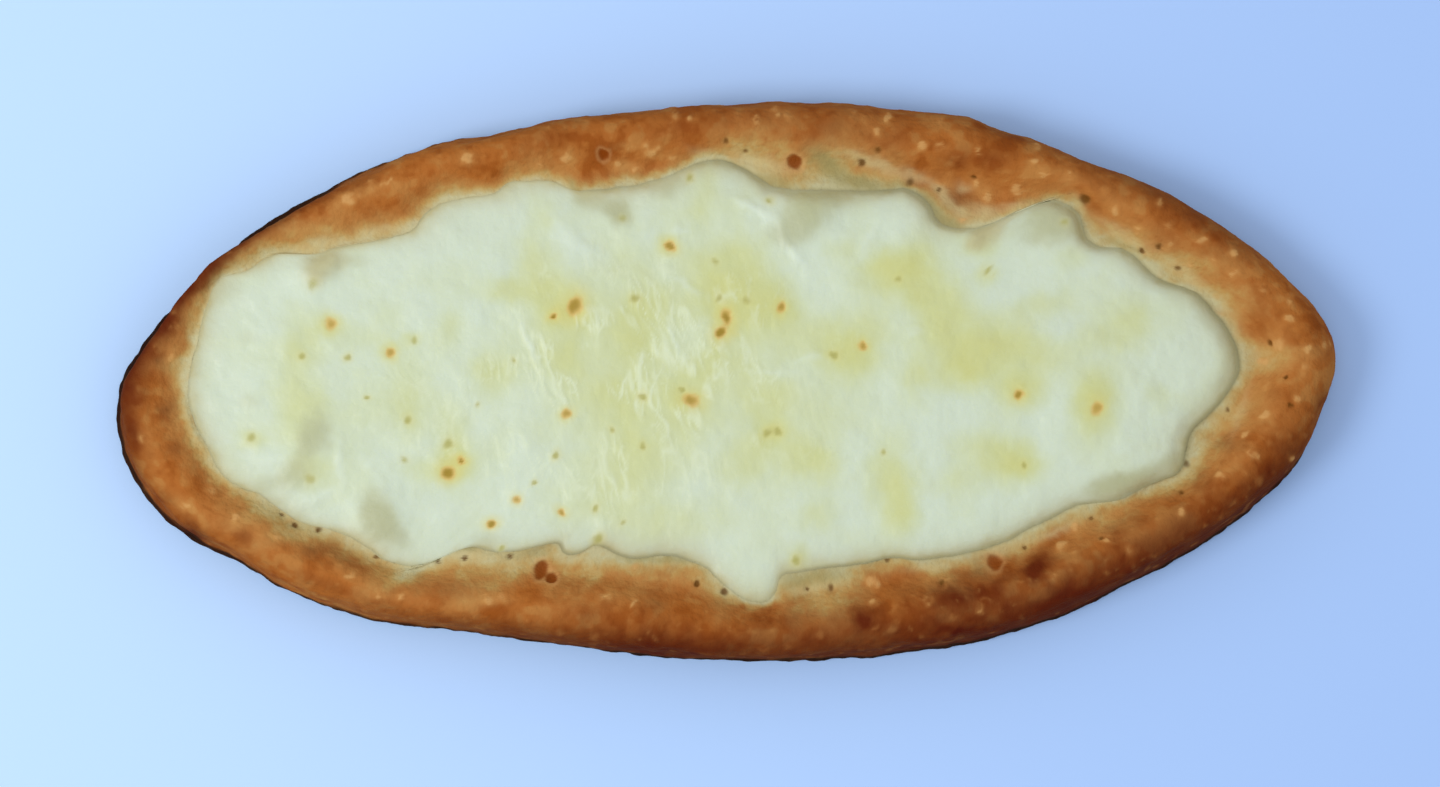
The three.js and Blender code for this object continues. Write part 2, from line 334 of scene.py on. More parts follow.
# %% Patches of the crust: x, y, half length, half width, turn in degrees, strength
DARK_PATCHES = [
    (75.5, -46, 4.8, 3, 50, 1.0), (63, -52, 5.0, 3.1, 10, 1.0), (55.5, -53.5, 4.0, 2.9, 0, 0.95),
    (33.5, -58.5, 3.8, 3.4, 0, 1.0), (51, -58.5, 3, 2, 0, 0.5), (77, -57, 9, 3.4, 14, 0.85),
    (90, -50.5, 9, 4, 22, 0.5), (107, -41, 7, 4, 33, 0.4), (114, -35.5, 5, 4, 20, 0.5),
    (132, -23, 6, 4, 45, 0.45), (122, -15.5, 2.5, 2, 0, 0.3), (145.5, -6, 6, 2, 75, 0.35),
    (103, -40, 5, 3, 30, 0.3), (43, -60, 4, 3, 0, 0.3), (94, -45, 5, 3, 20, 0.3),
    (24, 62, 6, 4, 0, 0.45), (57, 55, 4.5, 3.2, 10, 0.5), (66.5, 55, 5, 3.2, 0, 0.5),
    (57, 44.5, 3.4, 3, 0, 0.6), (68, 61, 10, 3, -10, 0.3), (5, 65, 16, 3, 0, 0.28),
    (-14, 61.5, 12, 3, 4, 0.25), (-44, 60, 9, 4, 10, 0.35), (41, 60, 8, 4, 0, 0.3),
    (106, 45, 10, 3, -28, 0.3), (112, 41, 7, 3.6, -30, 0.3), (122, 36, 9, 3.6, -36, 0.3),
    (145, 11, 7, 3, -75, 0.35), (108, 36, 4, 3, -30, 0.25), (132, 17, 3, 4, 0, 0.2),
    (-118, 33.5, 9, 2.2, 32, 0.45), (-128, 25.5, 7, 2.4, 42, 0.5), (-138, 13.5, 7, 3.2, 50, 0.55),
    (-104, 43.5, 9, 2.6, 27, 0.3), (-90, 49, 7, 1.8, 22, 0.3), (-146.5, -2, 6, 2.4, 85, 0.55),
    (-145, -13, 7, 2.4, 98, 0.55), (-137.5, -7.5, 3, 2.2, 60, 0.5), (-144, 4, 4, 2.6, 60, 0.35),
    (-144, -22, 5, 2, 115, 0.45), (-139, -29.5, 3.4, 2.4, 0, 0.4), (-135.5, -17, 2.2, 2, 0, 0.35),
    (-130, -36, 6, 1.8, -35, 0.5), (-34, -63, 18, 2, -4, 0.35), (2, -65, 24, 2.2, 0, 0.35),
    (-62, -59.5, 14, 1.6, -7, 0.3), (-35, -57, 5, 2.4, 0, 0.3), (-95, -51, 16, 1.8, -20, 0.35),
    (14, -58, 10, 4, 0, 0.2),
    (-97, -41, 4, 2, -20, 0.3), (-101.5, -42, 2.4, 1.8, 0, 0.4), (-68, -51, 9, 2.4, -4, 0.25),
    (-92, -44, 5, 2, -25, 0.25), (-118, -38, 3, 1.8, -20, 0.35), (-30, 56, 3, 2.4, 0, 0.4),
    (137.5, -23.5, 1.8, 1.2, 60, 0.9), (146.8, -5, 1.3, 2.2, 0, 0.8), (111, -43.5, 2.4, 1.2, 25, 0.9),
    (-130.5, -37.5, 3.2, 1.8, -40, 0.9),
]
GOLD_PATCHES = [
    (-88, 47, 6, 2.2, 15, 0.4), (-95, 44, 4, 2.2, 20, 0.4), (-101, 36.5, 8, 2.6, 0, 0.6),
    (-84, 39.5, 7, 2.2, 12, 0.35), (-63.5, 54.5, 2.6, 2.2, 0, 0.4), (-47, 52.5, 2.2, 3.6, 0, 0.4),
    (-39, 55, 3, 2.6, 0, 0.35), (-18.5, 56.5, 2.8, 2.6, 0, 0.5), (-24, 57.4, 4, 1, 0, 0.6),
    (-24, 52.8, 3.4, 1.6, 0, 0.55), (-13, 55, 2.4, 1.6, 0, 0.4), (-136, 7, 5.5, 2, 75, 0.6),
    (-143, 3, 2, 2, 0, 0.35), (-132.5, -31, 5, 2.2, -30, 0.4), (-119, -35.5, 8, 3, -25, 0.25),
    (-141, -17, 5, 1.8, 100, 0.25), (-108, -38, 6, 2.4, -22, 0.35), (-90, -47, 6, 1.8, -15, 0.35),
    (-60, -54, 4.6, 1.3, 0, 0.5), (-54, -53.6, 3, 1.1, 0, 0.35), (-28, -53, 3.4, 2, 0, 0.3),
    (134, 8, 8, 5, 70, 0.45), (133, -2, 6, 4, 80, 0.4), (125, -9, 6, 3, 60, 0.35),
    (100, 38, 9, 3.4, -30, 0.3), (86, 50, 7, 2.8, -20, 0.35), (95, 44, 6, 3.4, -25, 0.35),
    (75, 48, 7, 3.4, 0, 0.3), (52, 50, 5, 3.6, 0, 0.3), (31, 57.5, 9, 1.8, -8, 0.4),
    (62, 48.5, 3.2, 3.2, 0, 0.3), (31, 62, 8, 2, 0, 0.15), (90, -36.5, 9, 2.6, 24, 0.35),
    (83, -42, 4.5, 2.6, 25, 0.25), (121, -21, 5, 3.4, 50, 0.3), (47, -50, 9, 2.6, 2, 0.25),
    (125, 18, 5, 3, -60, 0.3), (142, 2, 4, 2, 80, 0.2), (1, 56.6, 6, 1.6, -25, 0.45),
    (71, -55.5, 3, 1.4, 30, 0.3), (87, 56, 8, 1.6, -22, 0.3), (100, 50, 8, 1.4, -28, 0.25),
]
# The olive hollows are painted shade: a darker olive laid where hollows of the pale band lie in shade,
# with no hollow in the relief.
SHADED_HOLLOWS = [
    (25, 53, 6.5, 2.6, -42, 1.0), (33, 48.6, 6.5, 2, -12, 1.0), (42, 48.3, 3.5, 1.2, 10, 0.5),
    (4, 51.6, 6, 1.2, -28, 0.8), (12, 49, 5, 1.6, -15, 0.6), (51, 41.5, 6, 1.8, -52, 0.9),
    (55.5, 38.3, 3.4, 1.6, -10, 0.8), (85.5, 40, 4, 2, -70, 0.5), (21, -48.5, 8.5, 2.4, 8, 0.75),
    (-62, -40.5, 5, 1.4, 10, 0.8), (-50, -41.8, 7, 1.4, 6, 0.75), (-20, -43.6, 7, 1, -2, 0.7),
    (-12, -43.8, 5, 1, -8, 0.6), (97, 33.5, 5, 1.2, -25, 0.5), (76, 44.8, 5, 0.8, 0, 0.3),
    (-37, 47, 3, 1, -60, 0.6), (-105, -34.5, 7, 1.6, -25, 0.4),
]
CREAM_PATCHES = [
    (9, 53, 7, 2.6, -10, 0.7), (36, 53.5, 8, 1.6, -22, 0.8), (46, 50.5, 4, 1.6, -20, 0.6),
    (53, 46, 4, 1.4, -50, 0.8), (57.5, 41, 4, 1.4, -50, 0.8), (63.5, 41, 4.6, 2.2, -10, 0.8),
    (71, 43, 5, 1, 14, 0.5), (86.5, 43, 3, 1.5, -60, 0.4), (98, 35.5, 8, 1.6, -30, 0.5),
    (113, 26, 8, 1.6, -45, 0.5), (124, 12, 7, 1.6, -70, 0.5), (-56, -42.5, 8, 1.4, 4, 0.6),
    (-64, -43, 4, 1.6, 0, 0.6), (-38, -43, 4, 1.4, -10, 0.5), (22, -50.5, 7, 1.2, 8, 0.6),
    (50, -45.5, 5, 1, 5, 0.6), (66, -41.5, 6, 1.2, 18, 0.6), (80, -37, 6, 1.2, 22, 0.6),
    (-101, 33, 7, 1.4, 15, 0.6), (-85, 37, 5, 1.2, 5, 0.6), (58, 47.5, 2, 1.6, 0, 0.5),
    (-4, 55.5, 5, 1.4, -20, 0.5), (-110, -31, 7, 1.4, -35, 0.5), (126, -8, 6, 1.4, 70, 0.4),
]
print(len(DARK_PATCHES), "dark,", len(GOLD_PATCHES), "golden,", len(SHADED_HOLLOWS), "olive and",
      len(CREAM_PATCHES), "cream patches")

# %% Soft ovals at the places of the marks
OVAL_REACH = 2.4


def patches(x, y, places, sharpness=1.0):
    """How strongly each point lies in soft turned ovals, from 0 to 1."""
    clear = np.ones_like(x)
    for patch_x, patch_y, half_length, half_width, turn, strength in places:
        reach = OVAL_REACH * max(half_length, half_width)
        near = (np.abs(x - patch_x) < reach) & (np.abs(y - patch_y) < reach)
        turn_x, turn_y = math.cos(math.radians(turn)), math.sin(math.radians(turn))
        off_x, off_y = x[near] - patch_x, y[near] - patch_y
        along = (off_x * turn_x + off_y * turn_y) / half_length
        across = (off_y * turn_x - off_x * turn_y) / half_width
        clear[near] *= 1 - strength * np.exp(-np.power(along**2 + across**2, sharpness))
    return 1 - clear


def each_different(places, seed, size=1.0):
    """Round places as ovals that differ a little in shape, turn and strength."""
    chance = np.random.default_rng(seed)
    return [
        (x, y, radius * size * chance.uniform(0.9, 1.2), radius * size * chance.uniform(0.75, 1.0),
         chance.uniform(0, 180), chance.uniform(0.65, 1.0))
        for x, y, radius in places
    ]


first_pit = each_different(PITS[:1], 2)[0]
print("the first pit as an oval:", [round(float(number), 2) for number in first_pit])

# %% [markdown]
# ## The crust's smooth form
# A baker rolls the edge over, so the section is nearly the same all round: out from
# the underside, up the plump side, over the crest and down to the cheese.  A few
# rings carry that section and a smooth curve runs through them at every station.
# Lofting rings keeps the edge flow neat and lets the crest follow its own curve,
# which a bevelled or inflated outline would not.  Where the dough spread on the hot
# tray, on the left above all, a thin foot stands out below the plump side.  From
# the crest the crust comes down within a few millimetres, whatever the width of the
# band, and where the cheese shrank further it leaves a level shelf of pale dough.
# The section ends level at the cheese, so the two meet in a soft groove on the right
# and without any step on the left.

# %% Heights and distances of the crust's section
LIP_HEIGHT = [
    (0, 12.9), (25, 13), (45, 13.5), (56, 14.5), (64, 13.5), (75, 13.3), (96, 13.6), (112, 13.8),
    (145, 14.2), (158, 14.6), (170, 14.3), (205, 14.1), (230, 14), (240, 14.5), (248, 13.8), (265, 13.6),
    (275, 13.7), (295, 13.4), (325, 13.1), (345, 12.9),
]
FLOOR_HEIGHT = 6
UNDERSIDE = [(5, 0, 0), (1.8, 0.5, 1), (0.4, 1.8, 0.5)]
OUTER_CRUST = [
    (0, 0, 0.6), (0.045, 0.27, 0.9), (0.14, 0.54, 0.68), (0.33, 0.79, 0.3), (0.63, 0.945, 0.08),
    (1, 1, 0),
]
INNER_PARTS = [0.1, 0.2, 0.3, 0.4, 0.5, 0.6, 0.7, 0.8, 0.9, 1]
SLOPE_PROFILE = np.array([(0, 1), (0.22, 0.93), (0.45, 0.69), (0.68, 0.34), (0.86, 0.09), (1, 0)])
SLOPE_WIDTH = 10
DOUGH_WALL = [(0.8, 9.2), (1.8, FLOOR_HEIGHT)]
RING_STEP = 0.6
SPINE_PART = 0.62
FOOT_OUT = [
    (0, 0.5), (30, 0.3), (80, 0.3), (108, 0.5), (125, 1.0), (138, 1.9), (148, 2.7), (157, 3.0),
    (166, 2.4), (180, 2.0), (197, 1.9), (210, 1.6), (220, 1.3), (232, 1.0), (255, 0.9), (285, 0.9),
    (310, 1.0), (335, 1.2), (345, 0.9), (353, 0.6),
]
CHEESE_WANDER = 0.4
print(f"{len(UNDERSIDE) + len(OUTER_CRUST) + len(INNER_PARTS)} rings carry the section")


# %% Lines round the bread that the section follows
def towards_spine(line, distance):
    """The line moved in, each station straight towards its place on the spine."""
    way = spine - line
    return line + way / np.linalg.norm(way, axis=1, keepdims=True) * distance


def distance_to(line, places):
    """How far each place lies from the nearest point of a closed line."""
    between_stations = (line + np.roll(line, -1, 0)) / 2
    fine = np.concatenate([line, between_stations])
    off_x = places[:, None, 0] - fine[None, :, 0]
    off_y = places[:, None, 1] - fine[None, :, 1]
    return np.sqrt((off_x**2 + off_y**2).min(1))


def ring(line, heights):
    """A line with a height of its own at each station."""
    return np.column_stack([line, np.broadcast_to(heights, len(line))])


lip_heights = along_knots(LIP_HEIGHT, angles)
cheese_line = lying_at(on_oval(angles, along_knots(CHEESE_LINE, angles)), lip_heights)
wander = np.column_stack([cheese_line, np.zeros(STATIONS)])
cheese_line = moved_in(cheese_line, CHEESE_WANDER * unevenness(wander, 5, 5, 3))
across_bread = (outline + outline[-np.arange(STATIONS)]) / 2
spine = across_bread * (SPINE_PART, 0)
crest_heights = along_knots(CREST_HEIGHT, angles)
crest_distances = along_knots(CREST_DISTANCE, angles)
crest_line = moved_in(outline, crest_distances)
foot_out = along_knots(FOOT_OUT, angles)
print(f"spine {np.ptp(spine[:, 0]):.0f} mm long, "
      f"lip {lip_heights.min():.1f} to {lip_heights.max():.1f} mm high")

# %% Rings of the crust from the underside to the cheese
crust_rings = [ring(moved_in(outline, np.maximum(distance - foot_out * spread, 0.1)), height)
               for distance, height, spread in UNDERSIDE]
for part, rise, lean in OUTER_CRUST:
    heights = WAIST_HEIGHT + (crest_heights - WAIST_HEIGHT) * rise
    inset = crest_distances * part + foot_out * lean
    crust_rings.append(ring(moved_in(outline, inset), heights))
for part in INNER_PARTS:
    line = crest_line + (cheese_line - crest_line) * part
    from_crest, to_cheese = distance_to(crest_line, line), distance_to(cheese_line, line)
    slope_width = ((from_crest + to_cheese) ** -4 + SLOPE_WIDTH**-4.0) ** -0.25
    down_slope = smooth_curve(*SLOPE_PROFILE.T, np.minimum(from_crest / slope_width, 1))
    crust_rings.append(ring(line, lip_heights + (crest_heights - lip_heights) * down_slope))
crust_rings = np.array(crust_rings)

ring_gaps = np.linalg.norm(np.diff(crust_rings, axis=0), axis=2).mean(1)
ring_places = np.concatenate([[0], np.cumsum(ring_gaps)])
wanted_places = np.linspace(0, ring_places[-1], round(ring_places[-1] / RING_STEP))
crust_form = smooth_curve(ring_places, crust_rings, wanted_places)
print(f"section {ring_places[-1]:.1f} mm long, {len(crust_form)} rings")

# %% [markdown]
# ## The crust's relief
# The hand-rolled edge swells and dips, its skin puckers, and the marks of baking
# stand up or sink in.  All of that moves the surface along its own direction, so the
# relief is one number for each point of the mesh.  It is real shape and not only a
# bump in the finish, because it has to show from the side too.

# %% Width of the band between the cheese and the brown crust
BROWN_LINE = [
    (0, 0.853), (6.5, 0.915), (9, 0.871), (14, 0.863), (20, 0.887), (24, 0.868), (30.5, 0.871),
    (33, 0.844), (37.5, 0.841), (42.5, 0.825), (51, 0.853), (54, 0.727), (64, 0.758),
    (66.5, 0.753), (72, 0.809), (74, 0.799), (76, 0.839), (78.5, 0.838), (81.5, 0.766),
    (84, 0.828), (90, 0.841), (99.5, 0.741), (102.5, 0.754), (107.5, 0.735), (112, 0.815),
    (119, 0.792), (123, 0.819), (128, 0.817), (132, 0.782), (139.5, 0.826), (141, 0.867),
    (145, 0.871), (147.5, 0.897), (154, 0.922), (173.5, 0.895), (175.5, 0.91), (180, 0.898),
    (204.5, 0.91), (209.5, 0.904), (212, 0.924), (215, 0.905), (217, 0.925), (220, 0.882),
    (229.5, 0.881), (232.5, 0.918), (235.5, 0.827), (243, 0.799), (245.5, 0.712), (249, 0.743),
    (252.5, 0.74), (254.5, 0.708), (256.5, 0.719), (265.5, 0.691), (269.5, 0.781), (278, 0.789),
    (282, 0.81), (290, 0.709), (295, 0.745), (297, 0.796), (299, 0.761), (301.5, 0.782),
    (304.5, 0.754), (306.5, 0.77), (315.5, 0.751), (319.5, 0.785), (329, 0.801), (333.5, 0.831),
    (342, 0.828), (344, 0.841), (346.5, 0.828), (348.5, 0.849),
]
NARROWEST_BAND = 1.6


def at_angles(knots, around):
    """Values of a closed curve of knots for a whole table of angles."""
    return along_knots(knots, around.ravel()).reshape(around.shape)


def past_line(x, y, knots):
    """How far out each point is seen past a closed line of knots, in millimetres."""
    angle, factor = place_on_oval(x, y)
    turn = np.radians(angle)
    oval_reach = np.hypot(HALF_LENGTH * np.cos(turn), HALF_WIDTH * np.sin(turn))
    return (factor - at_angles(knots, angle)) * oval_reach


crust_x, crust_y = seen_from_above(crust_form)
past_cheese = past_line(crust_x, crust_y, CHEESE_LINE)
band_width = np.maximum(past_cheese - past_line(crust_x, crust_y, BROWN_LINE), NARROWEST_BAND)
inside_outline = -past_line(crust_x, crust_y, OUTLINE)
print(f"band {band_width.min():.1f} to {band_width.max():.1f} mm wide")

# %% Where each mark falls on the crust
FACING_UP = (0.12, 0.5)
RAGGED = 0.55


def outward(form):
    """The direction that the woven surface faces at each point."""
    round_about = np.roll(form, -1, 1) - np.roll(form, 1, 1)
    across = np.gradient(form, axis=0)
    facing = np.cross(round_about, across)
    return facing / np.maximum(np.linalg.norm(facing, axis=2, keepdims=True), 1e-9)


ragged_x = crust_x + RAGGED * unevenness(crust_form, 1.9, 201, 2)
ragged_y = crust_y + RAGGED * unevenness(crust_form, 1.9, 211, 2)
facing_up = step_up(outward(crust_form)[..., 2], *FACING_UP)
blister = patches(ragged_x, ragged_y, each_different(BLISTERS, 1, 1.05), 1.1) * facing_up
blister = np.clip(blister * (1 + 0.7 * unevenness(crust_form, 1.7, 221, 2)), 0, 1)
round_x, round_y = (crust_x + ragged_x) / 2, (crust_y + ragged_y) / 2
pit = patches(round_x, round_y, each_different(PITS, 2, 0.85), 1.3)
bubble = patches(round_x, round_y, each_different(BUBBLES, 3, 1.05), 2.2)
bubble_rim = patches(round_x, round_y, each_different(BUBBLES, 3, 1.5), 2.0) * (1 - bubble)
print(f"{(blister > 0.5).mean():.1%} of the crust is blister, {(pit > 0.5).mean():.1%} pit")

# %% Fine blisters, scattered where the crust is seen and on its steep side
chance = np.random.default_rng(7)
fine_angle = chance.uniform(0, 360, FINE_BLISTERS)
fine_factor = chance.uniform(0.8, 0.97, FINE_BLISTERS)
fine_places = np.column_stack([on_oval(fine_angle, fine_factor), chance.uniform(0.5, 1.0, FINE_BLISTERS)])
fine_blister = patches(ragged_x, ragged_y, each_different(fine_places, 4)) * facing_up
side_blister = 0.8 * step_up(unevenness(crust_form, 2.4, 225, 1), 0.76, 0.95) * (1 - facing_up)
fine_blister = np.maximum(fine_blister, side_blister)
print(f"{(fine_blister > 0.5).mean():.1%} of the crust is fine blister")

# %% Relief of the crust, in millimetres
BLISTER_RISE = 0.3
FINE_BLISTER_RISE = 0.14
BUBBLE_RIM_RISE = 0.35
BUBBLE_DEPTH = 0.6
PIT_DEPTH = 0.6
section = np.broadcast_to(wanted_places[:, None], crust_x.shape)
from_lip = ring_places[-1] - section
relief = 0.5 * unevenness(crust_form, 24, 11, 2) + 0.32 * unevenness(crust_form, 8, 21, 2)
relief += 0.1 * unevenness(crust_form, 2.6, 31, 3)
relief += BLISTER_RISE * blister + FINE_BLISTER_RISE * fine_blister
relief += BUBBLE_RIM_RISE * bubble_rim - BUBBLE_DEPTH * bubble - PIT_DEPTH * pit
crumbly = (1 - step_up(crust_form[..., 2], 1.5, 5)) * step_up(section, 1.5, 3.5)
relief += crumbly * (0.24 * unevenness(crust_form, 2.8, 41, 2) - 0.05)
relief *= step_up(section, 0.5, 3) * step_up(from_lip, 0, 2)
crust_shape = crust_form + outward(crust_form) * relief[..., None]
crust_shape[..., 2] = np.maximum(crust_shape[..., 2], 0)
print(f"relief {relief.min():.2f} to {relief.max():.2f} mm")

# %% [markdown]
# ## From rings to a closed mesh
# The rings leave a long opening below and another above.  A fan from one middle
# point would squeeze thousands of slivers together there, so each opening is closed
# over a spine instead: a row of points down the middle that the stations of both
# long sides share.  The body is watertight, and its faces stay even.  For baking,
# the upper and the lower rings are peeled flat side by side, split at one ring.

# %% Spines, and rings between two rings
def spine_ring(heights):
    """The spine as a ring: stations facing each other across the bread share a place."""
    return ring(spine, heights)


def between(line, inner, parts):
    """Rings at parts of the way from one ring to another."""
    return [line + (inner - line) * part for part in parts]


print(f"{HALF_WAY + 1} points on each spine")

# %% Weave rings into one closed body
SHARP_ANGLE = 55
CHART_SIZE = 375


def peeled_flat(rings, middle):
    """Places in the unit square for rings peeled flat, from the spine outwards."""
    steps = np.linalg.norm(np.diff(rings, axis=0), axis=2)
    reach = np.concatenate([np.zeros((1, STATIONS)), np.cumsum(steps, 0)])
    way = (outline - spine) / np.linalg.norm(outline - spine, axis=1, keepdims=True)
    return (spine + way * reach[..., None]) / CHART_SIZE + middle


def closed_body(name, rings, split):
    """A mesh object woven from rings, of which the first and the last are spines."""
    shared = HALF_WAY + 1
    points = np.concatenate([rings[0][:shared], np.reshape(rings[1:-1], (-1, 3)), rings[-1][:shared]])
    station = np.arange(STATIONS)
    folded = np.minimum(station, STATIONS - station)
    rows = [folded]
    rows += [shared + number * STATIONS + station for number in range(len(rings) - 2)]
    rows.append(len(points) - shared + folded)
    low, high = np.array(rows[:-1]), np.array(rows[1:])
    faces = np.stack([low, np.roll(low, -1, 1), np.roll(high, -1, 1), high], -1).reshape(-1, 4)
    mesh = bpy.data.meshes.new(name)
    mesh.from_pydata((points * MM).tolist(), [], faces.tolist())
    mesh.validate()
    mesh.shade_smooth()
    mesh.set_sharp_from_angle(angle=math.radians(SHARP_ANGLE))
    rings = np.array(rings)
    under = peeled_flat(rings[:split + 1], (0.5, 0.25))
    top = peeled_flat(rings[split:][::-1], (0.5, 0.75))[::-1]
    low, high = np.concatenate([under[:-1], top[:-1]]), np.concatenate([under[1:], top[1:]])
    corners = np.stack([low, np.roll(low, -1, 1), np.roll(high, -1, 1), high], 2)
    mesh.uv_layers.new(name="OFBake").data.foreach_set("uv", corners.ravel())
    piece = bpy.data.objects.new(name, mesh)
    bpy.context.scene.collection.objects.link(piece)
    print(f"{name}: {len(points)} points, {len(mesh.polygons)} faces, "
          f"chart {corners.min((0, 1, 2)).round(2)} to {corners.max((0, 1, 2)).round(2)}")
    return piece


def paint(piece, name, values, rings_below, rings_above):
    """Keep a number for each point of a woven body, for its material to read."""
    rows = np.concatenate([
        np.repeat(values[:1], rings_below, 0), values, np.repeat(values[-1:], rings_above, 0)])
    shared = HALF_WAY + 1
    layer = piece.data.attributes.new(name, "FLOAT", "POINT")
    numbers = np.concatenate([rows[0, :shared], rows[1:-1].ravel(), rows[-1, :shared]])
    layer.data.foreach_set("value", numbers)


# %% The crust as a mesh
under_spine = spine_ring(0)
floor_spine = spine_ring(FLOOR_HEIGHT)
wall = [ring(towards_spine(cheese_line, distance), height) for distance, height in DOUGH_WALL]
crust_below = [under_spine] + between(crust_shape[0], under_spine, [0.9, 0.7, 0.5, 0.3, 0.12])
crust_above = wall + between(wall[-1], floor_spine, [0.1, 0.3, 0.6]) + [floor_spine]
waist_row = len(crust_below) + int(np.searchsorted(wanted_places, ring_places[len(UNDERSIDE)]))
crust = closed_body("bread_crust", crust_below + list(crust_shape) + crust_above, waist_row)
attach(crust, "root")
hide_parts("bread")

# %% [markdown]
# ## What the crust's finish needs to know
# Browning follows the heat.  From the edge of the cheese outwards the dough goes from
# cream over gold to brown.  The pale band is three or four millimetres wide at the
# left end and up to ten at the right, so the browning is counted in widths of that
# band.  The outer side is darkest at the lower right, where the oven was hottest, and
# the foot is burnt black on the left and below.  Each of these is kept as a number on
# the mesh, and the material turns the numbers into colours.  Numbers on the mesh stay
# put in every view and export.

# %% Heat of the oven, and the painted shade of the groove beside the cheese, all round
BANDS_TO_BROWN = 2.9
OVEN_HEAT = [
    (0, 0.08), (20, 0.05), (35, 0.3), (60, 0.2), (125, 0.05), (137, 0.3), (150, 0.8), (158, 0.85),
    (172, 0.9), (188, 0.68), (200, 0.2), (215, 0.22), (230, 0.1), (247, 0.5), (262, 0.92),
    (275, 0.82), (290, 0.94), (307, 0.98), (322, 0.92), (337, 0.93), (346, 0.6), (353, 0.28),
]
HEAT_DEPTH = [
    (0, 9), (40, 8), (60, 6), (143, 3.5), (157, 3), (172, 5.5), (188, 7), (215, 5), (247, 6), (262, 9.5),
    (275, 9), (291, 14), (307, 15), (322, 13), (337, 9),
]
FOOT_BURN = [
    (0, 0.25), (20, 0.1), (60, 0.15), (95, 0.4), (120, 0.6), (140, 0.9), (150, 1), (225, 1),
    (240, 0.9), (270, 0.95), (330, 0.95), (345, 0.8), (353, 0.5),
]
BURN_TOP = [
    (0, 4), (100, 4.2), (130, 5), (142, 6), (152, 7), (166, 6.5), (180, 5.6), (200, 5.2),
    (230, 4.8), (285, 5.2), (330, 5.2), (345, 4.6),
]
# These tables give painted shade: an olive-grey darkening laid along the groove between cheese and crust,
# strongest on the right.
GROOVE_SHADE_STRENGTH = [
    (0, 0.75), (20, 0.75), (30, 0.65), (46, 0.45), (52, 0.3), (60, 0.7), (74, 0.6), (82, 0.4),
    (88, 0.7), (93, 0.4), (97, 0.2), (106, 0.3), (112, 0), (150, 0), (215, 0), (230, 0.1),
    (238, 0.3), (262, 0.6), (268, 0.2), (276, 0.3), (283, 0.55), (300, 0.55), (325, 0.55),
    (335, 0.65), (345, 0.75),
]
GROOVE_SHADE_WIDTH = [
    (0, 1.2), (24, 1.1), (32, 1.0), (60, 1.1), (90, 1.0), (120, 0.8), (240, 0.7), (270, 0.6),
    (285, 0.7), (310, 0.8), (330, 1.0), (348, 1.1),
]
GROOVE_SHADE = 0.2
SHADE_WIDTH = 4.5
FILM_FADE = 2.3
BURN_EDGE = (-3.4, 2)
print(f"hottest {max(heat for angle, heat in OVEN_HEAT)}, burnt foot up to "
      f"{max(height for angle, height in BURN_TOP)} mm high")


# %% Browning, patches and burnt foot on the mesh
def edge_shift(form):
    """How far the edge of the cheese strays from its line, in millimetres."""
    return 0.5 * unevenness(form, 3.4, 351, 2) + 0.25 * unevenness(form, 1.6, 361, 1)


def painted_groove_shading(distances, around):
    """How strongly the painted shade of the groove between cheese and crust darkens each point."""
    line = np.exp(-(distances / at_angles(GROOVE_SHADE_WIDTH, around)) ** 2)
    shade = GROOVE_SHADE * np.exp(-(distances / SHADE_WIDTH) ** 2)
    return at_angles(GROOVE_SHADE_STRENGTH, around) * np.maximum(line, shade)


around = np.broadcast_to(angles, crust_x.shape)
shore = past_cheese + edge_shift(crust_form)
bands = shore / band_width + 0.2 * unevenness(crust_form, 5, 51, 3)
bake = np.clip(bands / BANDS_TO_BROWN, 0, 1)
film = 1 - np.exp(np.minimum(shore, 0) / FILM_FADE)
reach = np.maximum(inside_outline, 0) * (1 + 0.35 * unevenness(crust_form, 7, 55, 3))
scorch = at_angles(OVEN_HEAT, around) * np.exp(-(reach / at_angles(HEAT_DEPTH, around)) ** 2)
scorch = np.clip(scorch * (1 + 0.12 * unevenness(crust_form, 3, 56, 3)), 0, 1)
mottle = unevenness(crust_form, 6, 57, 3) + 0.65 * unevenness(crust_form, 2.2, 58, 2)
dark = patches(ragged_x, ragged_y, DARK_PATCHES)
dark = np.clip(dark * (1 + 0.35 * unevenness(crust_form, 5, 61, 3)), 0, 1)
gold = patches(ragged_x, ragged_y, GOLD_PATCHES)
gold = np.clip(gold * (1 + 0.3 * unevenness(crust_form, 4, 65, 3)), 0, 1)
painted_hollow_shade = patches(ragged_x, ragged_y, SHADED_HOLLOWS, 1.4)
cream = patches(ragged_x, ragged_y, CREAM_PATCHES, 1.2)
# Painted shade along the groove beside the cheese, on the crust's side.
painted_groove_shade = painted_groove_shading(from_lip, around)
above_burn = crust_form[..., 2] - at_angles(BURN_TOP, around) + 0.9 * unevenness(crust_form, 4, 71, 2)
burnt = at_angles(FOOT_BURN, around) * (1 - step_up(above_burn, *BURN_EDGE))
under = 1 - step_up(section, 2.5, 5)
for mark_name, mark_values in (
    ("bake", bake), ("film", film), ("scorch", scorch), ("mottle", mottle), ("dark", dark),
    ("gold", gold), ("painted_hollow_shade", painted_hollow_shade), ("cream", cream), ("painted_groove_shade", painted_groove_shade), ("burnt", burnt),
    ("blister", np.maximum(blister, 0.5 * fine_blister)), ("pit", pit), ("bubble", bubble),
    ("bubble_rim", bubble_rim), ("under", under),
):
    paint(crust, mark_name, mark_values, len(crust_below), len(crust_above))
print(f"browning {bake.min():.2f} to {bake.max():.2f}, scorch up to {scorch.max():.2f}")

# %% [markdown]
# ## The melted cheese
# The cheese set as a soft sheet: nearly level, rounded where it shrank from the crust
# on the right, flush with it on the left, and lifted by lumps of dough and bubbles.
# It is woven on the same stations as the crust, and its outermost ring laps onto the
# crust by a hair, as melted cheese does, so no gap shows.  Its height is one function
# of place, which keeps it a single smooth sheet, where a simulated melt would run
# slowly and not come out as this one.

